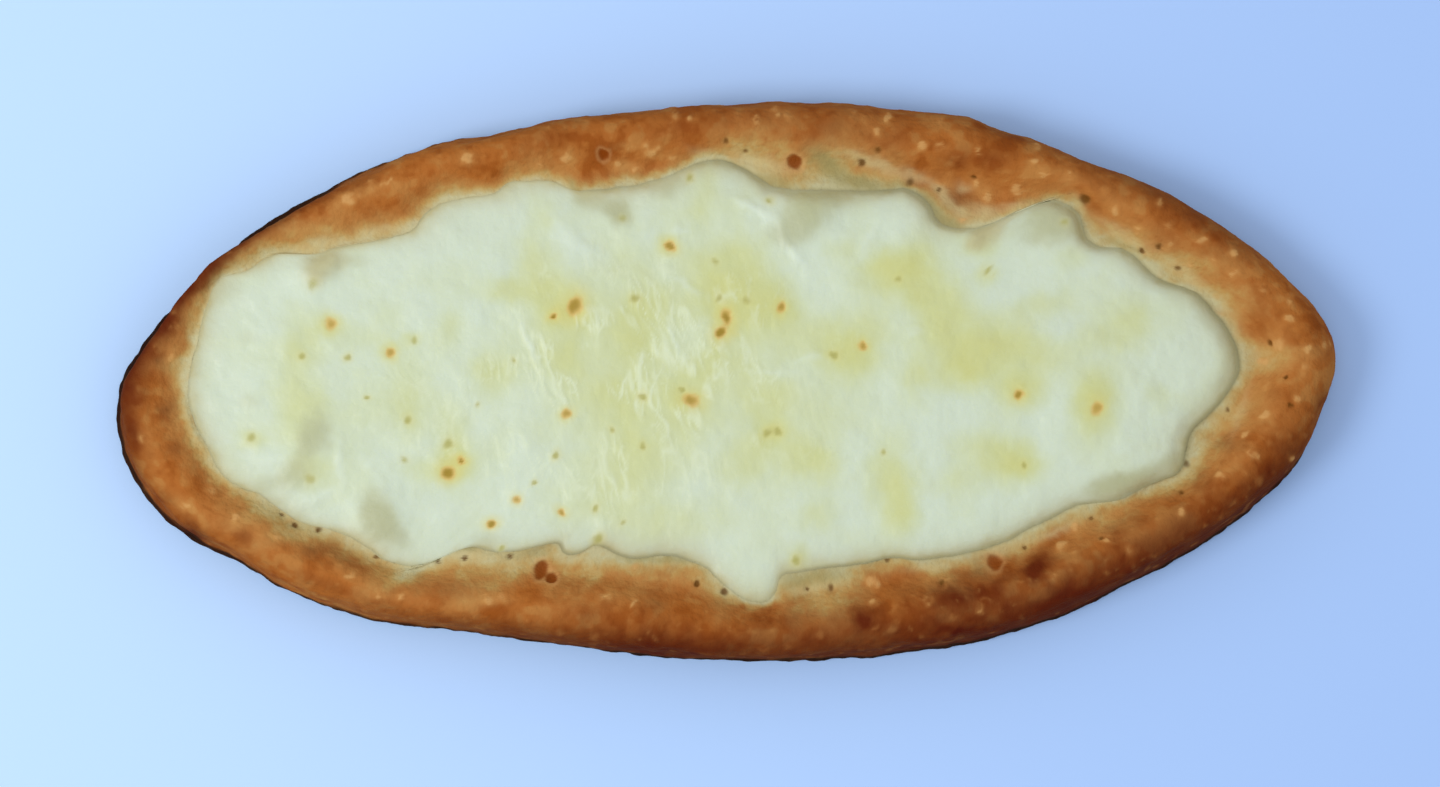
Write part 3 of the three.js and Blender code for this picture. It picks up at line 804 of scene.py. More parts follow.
# %% Height of the cheese at any place
CHEESE_RIM_HEIGHT = 14.2
CHEESE_SWELL = 0.7
CLEARANCE = 0.04
LAP = 0.5
EDGE_WIDTH = [
    (0, 2.6), (25, 2), (45, 1.5), (60, 1.6), (75, 1.8), (97, 1.6), (112, 1.6), (150, 2.2),
    (205, 2.4), (230, 1.6), (250, 1.3), (275, 1.6), (300, 1.5), (328, 1.9), (345, 2.5),
]
EDGE_STEPS = [0.25, 0.6, 1.1, 1.8, 2.7, 3.8]
LUMPS = [
    (19, 40, 8, 1.8), (79, 40, 8, 1.2), (-83, -33, 8, 1.4), (-102, -15, 10, 1.6),
    (-100, 28, 6, 1.4), (-37, 18, 14, 0.6), (44, 27, 18, 0.7), (92, -6, 20, 0.7),
]
CHEESE_ROWS = 66


def cheese_height(form, from_edge, near_middle):
    """Height of the sheet: level at the lip, then up to the swell and the lumps."""
    rise = CHEESE_RIM_HEIGHT - lip_heights + CHEESE_SWELL * near_middle
    for lump_x, lump_y, radius, lump_rise in LUMPS:
        away = (form[:, 0] - lump_x) ** 2 + (form[:, 1] - lump_y) ** 2
        rise = rise + lump_rise * np.exp(-away / radius**2)
    return lip_heights + rise * (1 - np.exp(-(from_edge / edge_widths) ** 2))


edge_widths = along_knots(EDGE_WIDTH, angles)
print(f"edge rounded over {edge_widths.min():.1f} to {edge_widths.max():.1f} mm, {len(LUMPS)} lumps")

# %% Form of the cheese
lapping_ring = crust_shape[-1] + (crust_shape[-2] - crust_shape[-1]) * LAP + (0, 0, CLEARANCE)
cheese_rings, edge_distances = [lapping_ring], [np.zeros(STATIONS)]
for distance in EDGE_STEPS:
    edge_ring = ring(towards_spine(cheese_line, distance + CLEARANCE), 0)
    from_edge = distance_to(cheese_line, edge_ring)
    edge_ring[:, 2] = cheese_height(edge_ring, from_edge, 0)
    cheese_rings.append(edge_ring)
    edge_distances.append(from_edge)
cheese_rim = ring(towards_spine(cheese_line, EDGE_STEPS[-1] + CLEARANCE), 0)
cheese_spine = spine_ring(0)
for part in np.arange(1, CHEESE_ROWS + 1) / CHEESE_ROWS:
    inner_ring = cheese_rim + (cheese_spine - cheese_rim) * part
    from_edge = distance_to(cheese_line, inner_ring)
    inner_ring[:, 2] = cheese_height(inner_ring, from_edge, part * (2 - part))
    cheese_rings.append(inner_ring)
    edge_distances.append(from_edge)
cheese_rings[-1][:, 2] = (cheese_rings[-1][:, 2] + cheese_rings[-1][-np.arange(STATIONS), 2]) / 2
cheese_form = np.array(cheese_rings)
edge_distances = np.array(edge_distances)
print(f"cheese: {len(cheese_form)} rings, {cheese_form[..., 2].max():.1f} mm high")

# %% [markdown]
# ## The marks of baking on the cheese
# Bubbles in the cheese browned and fell in, and each left a small golden-brown crater
# in a yellow ring.  Fat came out in soft yellow patches, the cheese is clear and grey
# where it is thin over a lump, painted shade greys the shaded sides of lumps, and a painted
# highlight pales folds that face the lamp.  As on the crust, the marks are placed one by one as seen from
# above.

# %% Spots of the cheese: x, y and radius
SPOTS = [
    (-96.9, 14.0, 1.8), (-82.4, 6.9, 1.4), (-37.1, 18.4, 2.2), (-42.5, 15.9, 1.0),
    (-13.8, 33.1, 1.4), (-0.1, 15.7, 1.8), (-1.3, 11.8, 1.6), (13.3, 18.1, 1.3), (33.4, 8.6, 1.2),
    (-8.7, -4.7, 2.1), (71.6, -3.4, 1.6), (90.7, -6.6, 1.7), (-68.2, -22.5, 1.8),
    (-65.0, -19.6, 1.3), (-39.1, -8.1, 1.4), (-51.3, -29.1, 1.1), (-57.4, -35.0, 1.3),
    (-40.3, -32.1, 1.1),
]
FAINT_SPOTS = [
    (-76.5, 9.8, 1.1), (-2.8, 29.4, 1.3), (-22.4, 20.1, 1.2), (-1.8, 20.3, 1.2), (4.8, 19.8, 1.3),
    (26.3, 6.4, 1.1), (-20.4, -3.9, 1.2), (-10.9, -2.2, 0.8), (10.0, -12.8, 1.3), (12.6, -12.4, 1.2),
    (-68.2, -15.4, 1.4), (-78.0, -9.6, 1.1), (-78.7, -19.3, 1.1), (-116.2, -14.0, 1.4),
    (-101.8, -24.0, 1.3), (72.9, -20.6, 0.9), (-41.8, -18.1, 1), (-32.0, -31.3, 1),
    (-31.5, -38.7, 1.3), (-25.3, -34.8, 0.9), (-8.9, 50.0, 1.2), (-104.2, 6.1, 1), (-92.9, 5.6, 1),
    (42, 25, 1.2), (17, -44, 1.2), (64, 27, 1.4), (-25.6, 39.9, 1.3), (10.5, 44.4, 1),
    (-20.5, -16, 0.9), (-52, 5, 0.8), (-61, -6, 0.9), (-47, -25, 0.9), (-88, -4, 0.8),
    (-101.5, 23.6, 1.6), (83, 39, 1.2), (-55, -41, 0.9), (38.5, -17.5, 0.8), (-28, -12, 0.8),
]
print(len(SPOTS), "spots,", len(FAINT_SPOTS), "faint spots")

# %% Yellow and grey patches, crumbs and folds of the cheese, listed like the crust's
YELLOW_PATCHES = [
    (-24, -2, 40, 27, 0, 0.28), (25, 6, 42, 22, 0, 0.2), (-6, 44, 12, 6, 0, 0.25),
    (-88, -2, 24, 20, 0, 0.18),
    (-104, 8, 10, 4, 80, 0.4), (-97, 13.5, 5, 3, 0, 0.6), (-104, -8, 8, 6, 60, 0.45),
    (-102, -22, 6, 5, 0, 0.5), (-116, -14, 4, 3, 0, 0.45), (-90, 10, 8, 4, 0, 0.3),
    (-82, 7, 3, 3, 0, 0.5), (-77, 10, 3, 2.5, 0, 0.5), (-78, -8, 8, 4, 90, 0.35),
    (-67, -14, 8, 4, 90, 0.5), (-66, -20, 5, 4, 0, 0.7), (-74, -22, 4, 3, 0, 0.4),
    (-67, 14, 5, 3, 80, 0.3), (-57, 1, 5, 5, 0, 0.5), (-54, 22, 8, 3, 0, 0.5),
    (-46, 29, 7, 6, 80, 0.45), (-40, 19, 9, 7, 0, 0.7), (-41, 8, 8, 7, 90, 0.5),
    (-46, 40, 8, 3, 90, 0.3), (-22, 18, 10, 9, 0, 0.6), (-20, 8, 8, 6, 0, 0.55),
    (-26, -1, 12, 9, 0, 0.45), (-20, -13, 10, 9, 0, 0.45), (-30, -26, 12, 9, 20, 0.45),
    (-9, -5, 8, 6, 90, 0.6), (-14, 33, 3, 3, 0, 0.5), (-22, 30, 8, 5, 0, 0.3),
    (-6, 46, 6, 3, 90, 0.4), (-15, -35, 15, 6, 0, 0.4), (-2, 26, 11, 8, 80, 0.65),
    (6, 28, 8, 6, 90, 0.55), (3, 17, 10, 8, 0, 0.7), (13, 18, 6, 6, 0, 0.65), (18, 11, 8, 5, 0, 0.5),
    (27, 7, 8, 6, 0, 0.6), (33, 10, 8, 6, 90, 0.5), (-2, 4, 10, 5, 0, 0.5), (10, -5, 16, 5, 0, 0.45),
    (11, -13, 6, 5, 0, 0.7), (20, -19, 8, 7, 0, 0.6), (4, -21, 8, 6, 0, 0.4), (42, 27, 9, 7, 0, 1.0),
    (49, 22, 8, 6, 0, 0.6), (55, 17, 8, 7, 90, 0.6), (60, 8, 9, 8, 0, 0.75), (58, 2, 5, 5, 0, 0.7),
    (69, 10, 7, 7, 0, 0.6), (72, -2, 7, 6, 0, 0.85), (80, 5, 8, 5, 0, 0.55), (90, -6, 9, 6, 90, 0.8),
    (98, 14, 7, 7, 0, 0.65), (89, 10, 6, 4, 0, 0.4), (78, 19, 8, 4, 0, 0.4), (64, 27, 3, 3, 0, 0.5),
    (62, 34, 5, 3, 0, 0.5), (47, 1, 4, 4, 0, 0.55), (40, -21, 8, 5, 90, 0.5),
    (42, -31, 8, 5, 90, 0.8), (72, -20, 6, 5, 0, 0.8), (64, -18, 8, 6, 0, 0.5),
    (56, -24, 6, 4, 0, 0.4), (22, -34, 6, 5, 0, 0.4), (17, -43, 3, 3, 0, 0.6),
    (21, -47, 6, 3, 0, 0.5), (20, 44, 5, 5, 0, 0.4), (27, 33, 4, 4, 0, 0.3), (107, -4, 4, 3, 0, 0.3),
    (85, 30, 4, 3, 0, 0.3),
]
# Grey patches are partly grey where the cheese is thin and clear over a lump, and partly painted shade on
# the sides of lumps that face away from the lamp.
GREY_AND_SHADE_PATCHES = [
    (-84.5, -33, 7, 5.5, -60, 0.9), (-80, -39, 5, 3.5, -40, 0.5), (-102, -14, 8, 4.5, 75, 0.7),
    (-106, -24, 6, 4.5, 0, 0.6), (-114, -25, 4, 2.5, 0, 0.4), (-99, 28.5, 5.5, 5, 0, 0.6),
    (19, 41, 8, 6, 30, 0.75), (26.5, 47, 7, 4, -35, 0.7), (15, 36, 6, 3.5, 0, 0.4),
    (80, 39, 9, 6, 5, 0.85), (100, 2, 40, 44, 0, 0.16), (88, 36.5, 3.4, 2.4, -60, 0.7),
    (-32, 43.5, 6.5, 3.6, -10, 0.6), (-26, 41, 4, 3, 80, 0.8), (-14, 48, 5, 3, 10, 0.6),
    (-36, 46, 3, 3, 0, 0.5),
    (-117, -5, 3.5, 3, 0, 0.35), (-122, 22, 5, 3.5, 30, 0.4), (-118, 10, 4, 3, 0, 0.3),
    (-91, 29.5, 5, 2, 10, 0.35), (95, -26, 9, 3, 15, 0.9), (104, -23, 6, 2.5, 25, 0.6),
    (111, -19, 4, 3, 60, 0.6), (122, 4, 9, 2.6, 88, 0.4), (118, 14, 6, 2.4, -55, 0.3),
    (15, -48, 3, 3, 0, 0.4), (-60, -38.5, 6, 2, 0, 0.4),
]
CREAM_CRUMBS = [
    (62.5, 36.5, 4, 3, -20, 1.0), (66, 38, 2.6, 3, 0, 0.9), (61, 33.5, 2.6, 2, 0, 0.8),
    (57.5, 38, 3, 1.6, 0, 0.7), (70, 41, 4, 1.2, 28, 0.7), (-66, -42.5, 3, 2, 40, 0.6),
    (-98.5, 30.5, 6, 4.5, 10, 0.75), (-101, 26, 2.6, 3, 0, 0.7),
    (16, -49.5, 4, 3, 0, 0.6), (12, 47, 4, 2.4, -10, 0.5), (18, 47, 3, 2, 0, 0.4),
]
# Folds carry a painted highlight: a paler colour laid on ridges and bumps where they face the lamp, while
# they also rise in the relief.
FOLDS_AND_HIGHLIGHTS = [
    (-113, -19, 4, 2.4, 20, 0.6), (-108, 23, 4, 2.4, 0, 0.5), (-98, 10, 2.6, 2, 0, 0.4),
    (-100, -29, 5, 1.5, 25, 0.8), (-95, -21, 6, 1.5, 95, 0.8), (-88, -20, 3, 2, 0, 0.5),
    (-84, -26, 7, 1.6, -52, 0.6), (-70, -33, 4, 2.4, 20, 0.5), (-39, 36, 10, 2, -45, 0.7),
    (-48, 9, 8, 0.9, -70, 0.7), (-12, 9, 5, 1, -70, 0.6), (-11, 24, 5, 1.3, -35, 0.6),
    (-11, 37, 3, 1.6, 20, 0.6), (7, 42, 6, 1.2, -28, 1.0), (16, 34, 9, 1.4, -55, 0.9),
    (27, 36, 4, 2, 0, 0.6), (35, 36, 8, 2, 62, 0.6), (20, 5, 4, 1.6, 0, 0.5), (47, 12, 3, 1.6, 0, 0.5),
    (12, 2, 8, 1.2, 0, 0.5), (30, -22, 6, 3, 30, 0.4), (5, -37, 9, 6, 80, 0.45), (9, -47, 6, 4, 80, 0.45),
    (49, -9, 5, 3, 0, 0.35), (85, -20, 6, 3, 0, 0.3), (-52, -8, 6, 5, 0, 0.35), (113, 5, 8, 6, 80, 0.3),
    (72, 31, 6, 4, 0, 0.3), (-75, -31, 6, 3, 0, 0.4), (-118, 6, 12, 7, 80, 0.35),
    (-78, 30, 18, 8, 20, 0.3),
]
print(len(YELLOW_PATCHES), "yellow and", len(GREY_AND_SHADE_PATCHES), "grey patches,", len(FOLDS_AND_HIGHLIGHTS), "folds")

# %% Where each mark falls on the cheese
MELTED_FINE, MELTED_WIDE, SPOT_RAGGED = 0.5, 1.1, 0.28
cheese_x, cheese_y = seen_from_above(cheese_form)
melted_x = cheese_x + MELTED_FINE * unevenness(cheese_form, 2.2, 301, 2)
melted_x = melted_x + MELTED_WIDE * unevenness(cheese_form, 9, 305, 2)
melted_y = cheese_y + MELTED_FINE * unevenness(cheese_form, 2.2, 311, 2)
melted_y = melted_y + MELTED_WIDE * unevenness(cheese_form, 9, 315, 2)
spot_x = cheese_x + SPOT_RAGGED * unevenness(cheese_form, 1.6, 321, 2)
spot_y = cheese_y + SPOT_RAGGED * unevenness(cheese_form, 1.6, 331, 2)
spot = patches(spot_x, spot_y, each_different(SPOTS, 11, 1.0), 1.5)
faint_spot = patches(spot_x, spot_y, each_different(FAINT_SPOTS, 12, 0.95), 1.1)
halo = patches(spot_x, spot_y, each_different(SPOTS, 11, 2.2))
halo = np.maximum(halo, 0.6 * patches(spot_x, spot_y, each_different(FAINT_SPOTS, 12, 2.0)))
yellow = patches(melted_x, melted_y, YELLOW_PATCHES, 1.2)
grey = patches(melted_x, melted_y, GREY_AND_SHADE_PATCHES, 1.4)
crumb = patches(spot_x, spot_y, CREAM_CRUMBS, 1.3)
fold_and_highlight = patches(melted_x, melted_y, FOLDS_AND_HIGHLIGHTS)
print(f"{(yellow > 0.5).mean():.0%} of the cheese is yellow, {(grey > 0.5).mean():.0%} grey")

# %% [markdown]
# ## Shreds
# Grated cheese melts into fine strands that lean the same way here.  Unevenness that
# is stretched along that lean and folded at its middle value gives thin bright ridges
# between soft hollows, and it is kept to the parts where strands show.

# %% Strands
STRAND_LEAN = 0.26
STRAND_STRETCH = 3.6
STRAND_WANDER = 1.6
STRAND_AREAS = [
    (0, 0, 160, 90, 0, 0.35), (-24, 4, 38, 30, 0, 1.0), (-72, -8, 22, 22, 0, 0.4),
    (-35, -28, 24, 10, 0, 0.5),
]


def strands(width, seed):
    """Thin leaning ridges a width apart, from 0 to 1."""
    leaning = cheese_x + STRAND_LEAN * cheese_y
    wandering = leaning + STRAND_WANDER * unevenness(cheese_form, 12, seed + 3, 2)
    along_strands = np.stack([wandering, cheese_y / STRAND_STRETCH, np.zeros_like(cheese_x)], -1)
    return np.clip(1 - np.abs(unevenness(along_strands, width, seed, 2)), 0, 1) ** 3


strand = np.maximum(strands(2.4, 81), 0.8 * strands(1.5, 85)) * patches(cheese_x, cheese_y, STRAND_AREAS)
strand *= step_up(unevenness(cheese_form, 6, 91, 2), -0.9, 0.5)
print(f"strands up to {strand.max():.2f}")

# %% Relief of the cheese, in millimetres
STRAND_RISE = 0.18
FOLD_RISE = 0.45
HALO_RISE = 0.2
SPOT_DEPTH = 0.35
FAINT_SPOT_DEPTH = 0.15
CRUMB_RISE, CRUMB_UNEVEN = 0.5, 0.4
cheese_relief = 0.35 * unevenness(cheese_form, 13, 101, 2) + 0.2 * unevenness(cheese_form, 4.5, 111, 3)
cheese_relief += (STRAND_RISE * strand + FOLD_RISE * fold_and_highlight + HALO_RISE * halo - SPOT_DEPTH * spot
                  - FAINT_SPOT_DEPTH * faint_spot)
cheese_relief += crumb * (CRUMB_RISE + CRUMB_UNEVEN * unevenness(cheese_form, 2.2, 121, 2))
cheese_shape = cheese_form.copy()
cheese_shape[..., 2] += cheese_relief * step_up(edge_distances, 0, 2)
cheese_shape[-1, :, 2] = (cheese_shape[-1, :, 2] + cheese_shape[-1, -np.arange(STATIONS), 2]) / 2
print(f"relief {cheese_relief.min():.2f} to {cheese_relief.max():.2f} mm")

# %% The cheese as a mesh
cheese_wall = [ring(towards_spine(cheese_line, distance + CLEARANCE), height + CLEARANCE)
               for distance, height in reversed(DOUGH_WALL)]
cheese_wall.append(ring(towards_spine(cheese_line, CLEARANCE), lip_heights))
cheese_floor = spine_ring(FLOOR_HEIGHT + CLEARANCE)
cheese_below = [cheese_floor] + between(cheese_wall[0], cheese_floor, [0.75, 0.4]) + cheese_wall
cheese = closed_body("melted_cheese", cheese_below + list(cheese_shape), len(cheese_below))
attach(cheese, "root")
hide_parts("cheese")

# %% What the cheese's finish needs to know
shore = past_line(cheese_x, cheese_y, CHEESE_LINE) + edge_shift(cheese_form)
edge = np.maximum(np.exp(np.minimum(shore, 0) / FILM_FADE), crumb)
# Painted shade along the groove, on the cheese's side.
painted_groove_shade = painted_groove_shading(edge_distances, np.broadcast_to(angles, cheese_x.shape))
for mark_name, mark_values in (
    ("yellow", yellow), ("spot", spot), ("faint_spot", faint_spot), ("halo", halo),
    ("grey", grey), ("strand", strand), ("fold_and_highlight", fold_and_highlight), ("edge", edge), ("painted_groove_shade", painted_groove_shade),
):
    paint(cheese, mark_name, mark_values, len(cheese_below), 0)
print(len(cheese.data.attributes), "attributes on the cheese")

# %% [markdown]
# ## Finishes
# Both finishes need the same thing from their surroundings: soft patches and a finer
# grain that vary their colour.  That is one shader node group, placed in each
# material with its own sizes.

# %% A node group of patches and grain
def add_node(tree, kind, **settings):
    """A new node of a tree with its settings."""
    node = tree.nodes.new(kind)
    for key, value in settings.items():
        setattr(node, key, value)
    return node


mottle_group = bpy.data.node_groups.new("oven mottle", "ShaderNodeTree")
for socket_name in ("Patch Scale", "Grain Scale"):
    mottle_group.interface.new_socket(socket_name, in_out="INPUT", socket_type="NodeSocketFloat")
for socket_name in ("Patches", "Grain"):
    mottle_group.interface.new_socket(socket_name, in_out="OUTPUT", socket_type="NodeSocketFloat")
group_in = add_node(mottle_group, "NodeGroupInput")
group_out = add_node(mottle_group, "NodeGroupOutput")
group_place = add_node(mottle_group, "ShaderNodeTexCoord")
for socket_name, detail, output in (("Patch Scale", 3, "Patches"), ("Grain Scale", 5, "Grain")):
    noise = add_node(mottle_group, "ShaderNodeTexNoise")
    noise.inputs["Detail"].default_value = detail
    mottle_group.links.new(group_place.outputs["Object"], noise.inputs["Vector"])
    mottle_group.links.new(group_in.outputs[socket_name], noise.inputs["Scale"])
    mottle_group.links.new(noise.outputs["Fac"], group_out.inputs[output])
print(mottle_group.name, "has", len(mottle_group.nodes), "nodes")


# %% Helpers for building a material
def shown_as(red, green, blue, veil=0.0):
    """The colour that shows as these 0 to 255 screen values under a veil of gloss."""
    def one(value):
        value /= 255
        light = value / 12.92 if value <= 0.04045 else ((value + 0.055) / 1.055) ** 2.4
        return max(light - veil, 0.001)
    return (one(red), one(green), one(blue), 1)


class Finish:
    """A material that is built by laying one colour over another."""

    def __init__(self, name, roughness, shine, veil, patch_scale, grain_scale):
        self.material = bpy.data.materials.new(name)
        self.material.use_nodes = True
        self.tree = self.material.node_tree
        self.shader = self.tree.nodes["Principled BSDF"]
        self.shader.inputs["Roughness"].default_value = roughness
        self.shader.inputs["Specular IOR Level"].default_value = shine
        self.mottle = add_node(self.tree, "ShaderNodeGroup", node_tree=mottle_group)
        self.mottle.inputs["Patch Scale"].default_value = patch_scale
        self.mottle.inputs["Grain Scale"].default_value = grain_scale
        self.veil = veil
        self.colour = None

    def mark(self, name):
        """The number kept on the mesh under this name."""
        return add_node(self.tree, "ShaderNodeAttribute", attribute_name=name).outputs["Fac"]

    def ranged(self, source, low, high, to_low, to_high):
        """The source from low to high as a smooth rise between two other values."""
        node = add_node(self.tree, "ShaderNodeMapRange", interpolation_type="SMOOTHSTEP")
        ends = (("From Min", low), ("From Max", high), ("To Min", to_low), ("To Max", to_high))
        for socket_name, value in ends:
            node.inputs[socket_name].default_value = value
        self.tree.links.new(source, node.inputs["Value"])
        return node.outputs["Result"]

    def maths(self, operation, first, second):
        """Two sources or numbers put together."""
        node = add_node(self.tree, "ShaderNodeMath", operation=operation)
        for socket, value in zip(node.inputs, (first, second)):
            if isinstance(value, (int, float)):
                socket.default_value = value
            else:
                self.tree.links.new(value, socket)
        return node.outputs["Value"]

    def ramp(self, source, stops):
        """Start with a colour that changes along the source."""
        node = add_node(self.tree, "ShaderNodeValToRGB")
        elements = node.color_ramp.elements
        while len(elements) < len(stops):
            elements.new(0.5)
        for element, (position, colour) in zip(elements, stops):
            element.position = position
            element.color = shown_as(*colour, self.veil)
        self.tree.links.new(source, node.inputs["Fac"])
        self.colour = node.outputs["Color"]

    def lay(self, amount, colour):
        """Lay a colour over what is there, by an amount."""
        node = add_node(self.tree, "ShaderNodeMix", data_type="RGBA")
        self.tree.links.new(amount, node.inputs["Factor"])
        self.tree.links.new(self.colour, node.inputs["A"])
        node.inputs["B"].default_value = shown_as(*colour, self.veil)
        self.colour = node.outputs["Result"]

    def lay_mark(self, name, colour, most=1, span=None):
        """Lay a colour where a mark is, evenly or rising over a span of its numbers."""
        amount = self.mark(name)
        if span:
            amount = self.ranged(amount, *span, 0, most)
        elif most < 1:
            amount = self.maths("MULTIPLY", amount, most)
        self.lay(amount, colour)

    def bump(self, height, distance, strength):
        """Fine bumps that follow a height."""
        node = add_node(self.tree, "ShaderNodeBump")
        node.inputs["Distance"].default_value = distance
        node.inputs["Strength"].default_value = strength
        self.tree.links.new(height, node.inputs["Height"])
        self.tree.links.new(node.outputs["Normal"], self.shader.inputs["Normal"])

    def put_on(self, piece):
        """Show the colour on a piece."""
        self.tree.links.new(self.colour, self.shader.inputs["Base Color"])
        piece.data.materials.append(self.material)
        print(f"{self.material.name}: {len(self.tree.nodes)} nodes")


print("mid grey on the screen is", round(shown_as(128, 128, 128)[0], 3), "of full light")

# %% [markdown]
# ## Baked crust
# The colour runs from cream dough to golden brown with the browning number, is
# broken up by mottling, and is then laid over with the marks.

# %% Crust finish
crust_finish = Finish(
    "baked_crust", roughness=0.6, shine=0.06, veil=0.006, patch_scale=190, grain_scale=800)
patchy = crust_finish.ranged(crust_finish.mottle.outputs["Patches"], 0.3, 0.7, -0.08, 0.08)
grainy = crust_finish.ranged(crust_finish.mottle.outputs["Grain"], 0.3, 0.7, -0.03, 0.03)
browned = crust_finish.maths("ADD", crust_finish.mark("bake"), patchy)
browned = crust_finish.maths("ADD", browned, grainy)
crust_finish.ramp(browned, [
    (0.0, (196, 188, 146)), (0.1, (193, 176, 126)), (0.2, (190, 163, 106)), (0.31, (185, 145, 85)),
    (0.42, (181, 129, 72)), (0.54, (177, 118, 62)), (0.7, (174, 109, 54)), (1.0, (172, 103, 47)),
])
redder = crust_finish.ranged(crust_finish.mark("mottle"), 0.0, 0.9, 0, 0.7)
crust_finish.lay(crust_finish.maths("MULTIPLY", redder, crust_finish.mark("bake")), (148, 77, 28))
paler = crust_finish.ranged(crust_finish.mark("mottle"), -0.1, -0.9, 0, 0.5)
crust_finish.lay(crust_finish.maths("MULTIPLY", paler, crust_finish.mark("bake")), (190, 137, 76))
crust_finish.lay_mark("film", (204, 214, 188))
crust_finish.lay_mark("gold", (196, 146, 84), most=0.75)
crust_finish.lay_mark("scorch", (84, 30, 8))
crust_finish.lay_mark("dark", (92, 36, 8), most=0.92)
# Painted shade in the hollows of the pale band.
crust_finish.lay_mark("painted_hollow_shade", (158, 146, 96), most=0.85)
crust_finish.lay_mark("cream", (204, 186, 136), most=0.8)
crust_finish.lay_mark("blister", (200, 142, 80), most=0.36, span=(0, 0.8))
crust_finish.lay_mark("blister", (212, 164, 104), most=0.55, span=(0.4, 1))
crust_finish.lay_mark("bubble_rim", (212, 162, 106), most=0.75, span=(0.1, 0.9))
crust_finish.lay_mark("bubble", (132, 63, 18), most=0.9, span=(0.15, 0.8))
crust_finish.lay_mark("pit", (98, 60, 22), most=0.85, span=(0.1, 0.8))
# Painted shade: olive-grey darkening along the groove beside the cheese.
crust_finish.lay_mark("painted_groove_shade", (140, 134, 96))
crust_finish.lay_mark("under", (150, 96, 46))
crust_finish.lay_mark("burnt", (38, 24, 18), most=0.94, span=(0.1, 0.85))
crust_finish.bump(crust_finish.mottle.outputs["Grain"], 0.0008, 0.6)
crust_finish.put_on(crust)

# %% [markdown]
# ## Melted cheese
# White cheese with a green cast, yellow where the fat came out, clear and grey where
# it is thin over a lump, with painted shade on the lumps' shaded sides, a painted highlight on folds that
# face the lamp, and browned bubbles in a yellow ring.

# %% Cheese finish
cheese_finish = Finish(
    "melted_cheese", roughness=0.42, shine=0.3, veil=0.014, patch_scale=70, grain_scale=600)
patchy = cheese_finish.ranged(cheese_finish.mottle.outputs["Patches"], 0.3, 0.7, -0.14, 0.14)
yellowed = cheese_finish.maths("ADD", cheese_finish.mark("yellow"), patchy)
cheese_finish.ramp(yellowed, [
    (0.0, (209, 220, 199)), (0.3, (207, 216, 182)), (0.7, (205, 210, 156)), (1.0, (204, 205, 138)),
])
cheese_finish.lay_mark("strand", (222, 230, 200), most=0.7, span=(0.2, 0.9))
# Painted highlight on folds and bumps that face the lamp.
cheese_finish.lay_mark("fold_and_highlight", (216, 227, 210), most=0.65, span=(0.1, 0.9))
# Partly grey cheese, thin over lumps, and partly painted shade on the lumps' shaded sides.
cheese_finish.lay_mark("grey", (180, 182, 144), most=0.9, span=(0.05, 0.95))
cheese_finish.lay_mark("edge", (190, 182, 138))
# Painted shade: olive-grey darkening along the groove beside the crust.
cheese_finish.lay_mark("painted_groove_shade", (138, 132, 94))
cheese_finish.lay_mark("halo", (215, 204, 122), most=0.65, span=(0.1, 0.9))
cheese_finish.lay_mark("faint_spot", (166, 162, 86), most=0.7, span=(0.1, 0.9))
cheese_finish.lay_mark("spot", (212, 174, 96), most=0.75, span=(0.05, 0.6))
cheese_finish.lay_mark("spot", (154, 126, 34), most=0.85, span=(0.4, 0.9))
cheese_finish.bump(cheese_finish.mottle.outputs["Grain"], 0.0004, 0.4)
cheese_shader = cheese_finish.shader
cheese_shader.inputs["Subsurface Weight"].default_value = 0.2
cheese_shader.inputs["Subsurface Radius"].default_value = (1.0, 0.9, 0.6)
cheese_shader.inputs["Subsurface Scale"].default_value = 0.0014
cheese_finish.put_on(cheese)
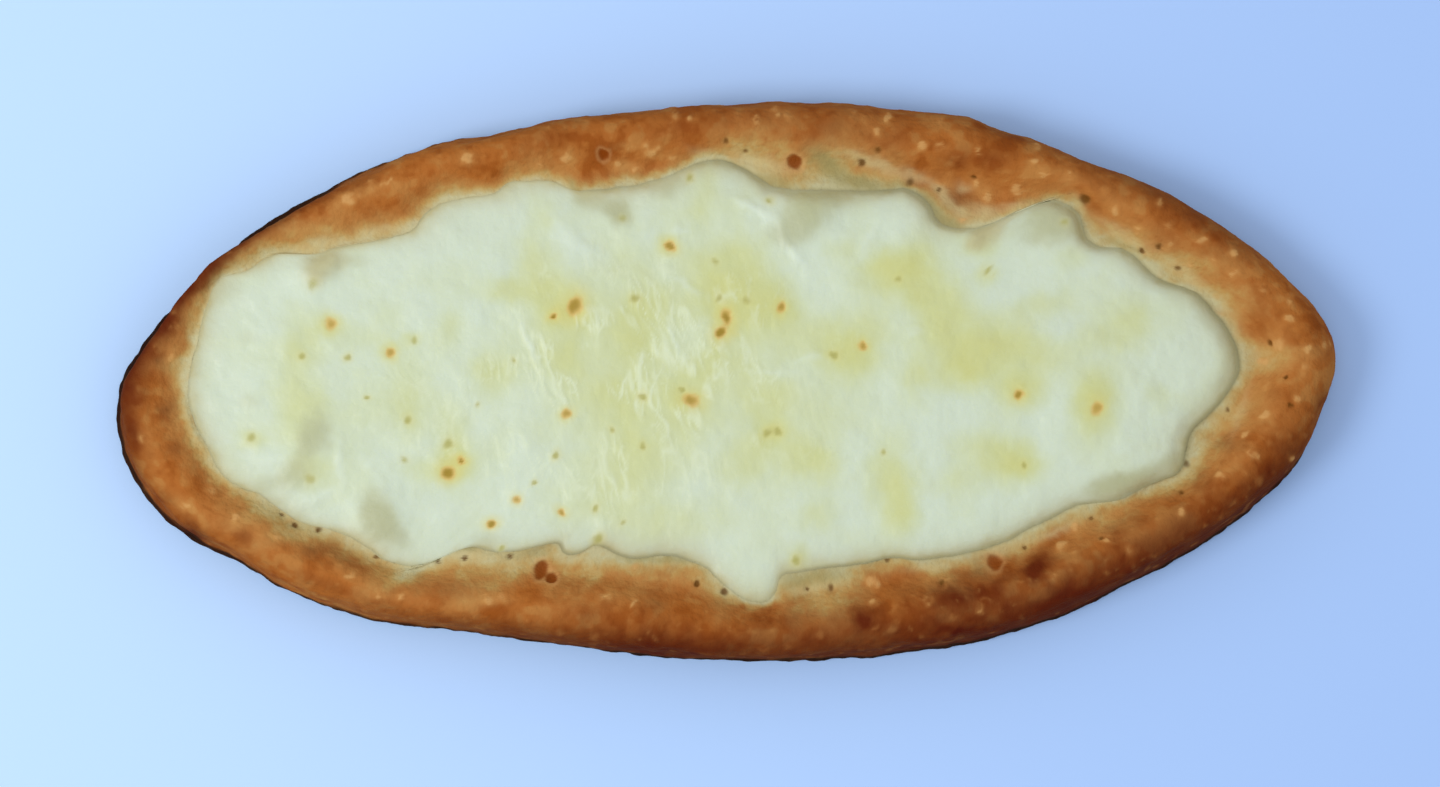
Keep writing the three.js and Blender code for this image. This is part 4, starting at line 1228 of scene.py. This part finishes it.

# %% [markdown]
# ## Floor and light
# The bread lies on a plain pale blue floor in soft light from the left, and the floor's
# colour is painted a touch paler on that side, as the falloff of the lamp's light.

# %% Floor
FLOOR_REACH = 3
FLOOR_LIGHT_FADE = 0.24
floor_mesh = bpy.data.meshes.new("floor")
floor_corners = [(x * FLOOR_REACH, y * FLOOR_REACH, 0) for x, y in ((-1, -1), (1, -1), (1, 1), (-1, 1))]
floor_mesh.from_pydata(floor_corners, [], [(0, 1, 2, 3)])
floor = bpy.data.objects.new("floor", floor_mesh)
bpy.context.scene.collection.objects.link(floor)
floor_material = bpy.data.materials.new("floor")
floor_material.use_nodes = True
floor_tree = floor_material.node_tree
floor_shader = floor_tree.nodes["Principled BSDF"]
floor_shader.inputs["Roughness"].default_value = 0.8
floor_shader.inputs["Specular IOR Level"].default_value = 0.1
ray = add_node(floor_tree, "ShaderNodeLightPath")
place = add_node(floor_tree, "ShaderNodeTexCoord")
split = add_node(floor_tree, "ShaderNodeSeparateXYZ")
across = add_node(floor_tree, "ShaderNodeMapRange", interpolation_type="SMOOTHSTEP")
across.inputs["From Min"].default_value = -FLOOR_LIGHT_FADE
across.inputs["From Max"].default_value = FLOOR_LIGHT_FADE
# Painted light: the floor's colour runs from paler on the left to darker on the right, as the lamp's
# falloff.
painted_floor_falloff = add_node(floor_tree, "ShaderNodeMix", data_type="RGBA")
painted_floor_falloff.inputs["A"].default_value = shown_as(192, 222, 262)
painted_floor_falloff.inputs["B"].default_value = shown_as(168, 199, 250)
floor_colour = add_node(floor_tree, "ShaderNodeMix", data_type="RGBA")
floor_colour.inputs["A"].default_value = shown_as(147, 147, 143)
for output, socket in (
    (place.outputs["Object"], split.inputs["Vector"]),
    (split.outputs["X"], across.inputs["Value"]),
    (across.outputs["Result"], painted_floor_falloff.inputs["Factor"]),
    (painted_floor_falloff.outputs["Result"], floor_colour.inputs["B"]),
    (ray.outputs["Is Camera Ray"], floor_colour.inputs["Factor"]),
    (floor_colour.outputs["Result"], floor_shader.inputs["Base Color"]),
):
    floor_tree.links.new(output, socket)
floor_mesh.materials.append(floor_material)
print(f"floor {2 * FLOOR_REACH} m across")


# %% Lamp and sky
def soft_lamp(name, place, size, power, colour):
    """A round lamp that shines at the middle of the bread."""
    lamp = bpy.data.lights.new(name, "AREA")
    lamp.shape = "DISK"
    lamp.size = size
    lamp.energy = power
    lamp.color = colour
    stand = bpy.data.objects.new(name, lamp)
    stand.location = place
    direction = -np.array(place)
    stand.rotation_euler = (
        0, math.atan2(math.hypot(direction[0], direction[1]), -direction[2]),
        math.atan2(direction[1], direction[0]) + math.pi)
    bpy.context.scene.collection.objects.link(stand)
    print(f"{name} lamp of {power} W at {math.hypot(*place):.2f} m")


soft_lamp("window", place=(-0.85, -0.27, 1.05), size=0.55, power=7, colour=(1.0, 0.99, 0.97))
world = bpy.data.worlds.new("sky")
bpy.context.scene.world = world
world.use_nodes = True
sky = world.node_tree.nodes["Background"]
sky.inputs["Color"].default_value = (0.95, 0.98, 1.0, 1)
sky.inputs["Strength"].default_value = 0.78
bpy.context.scene.view_settings.view_transform = "Standard"
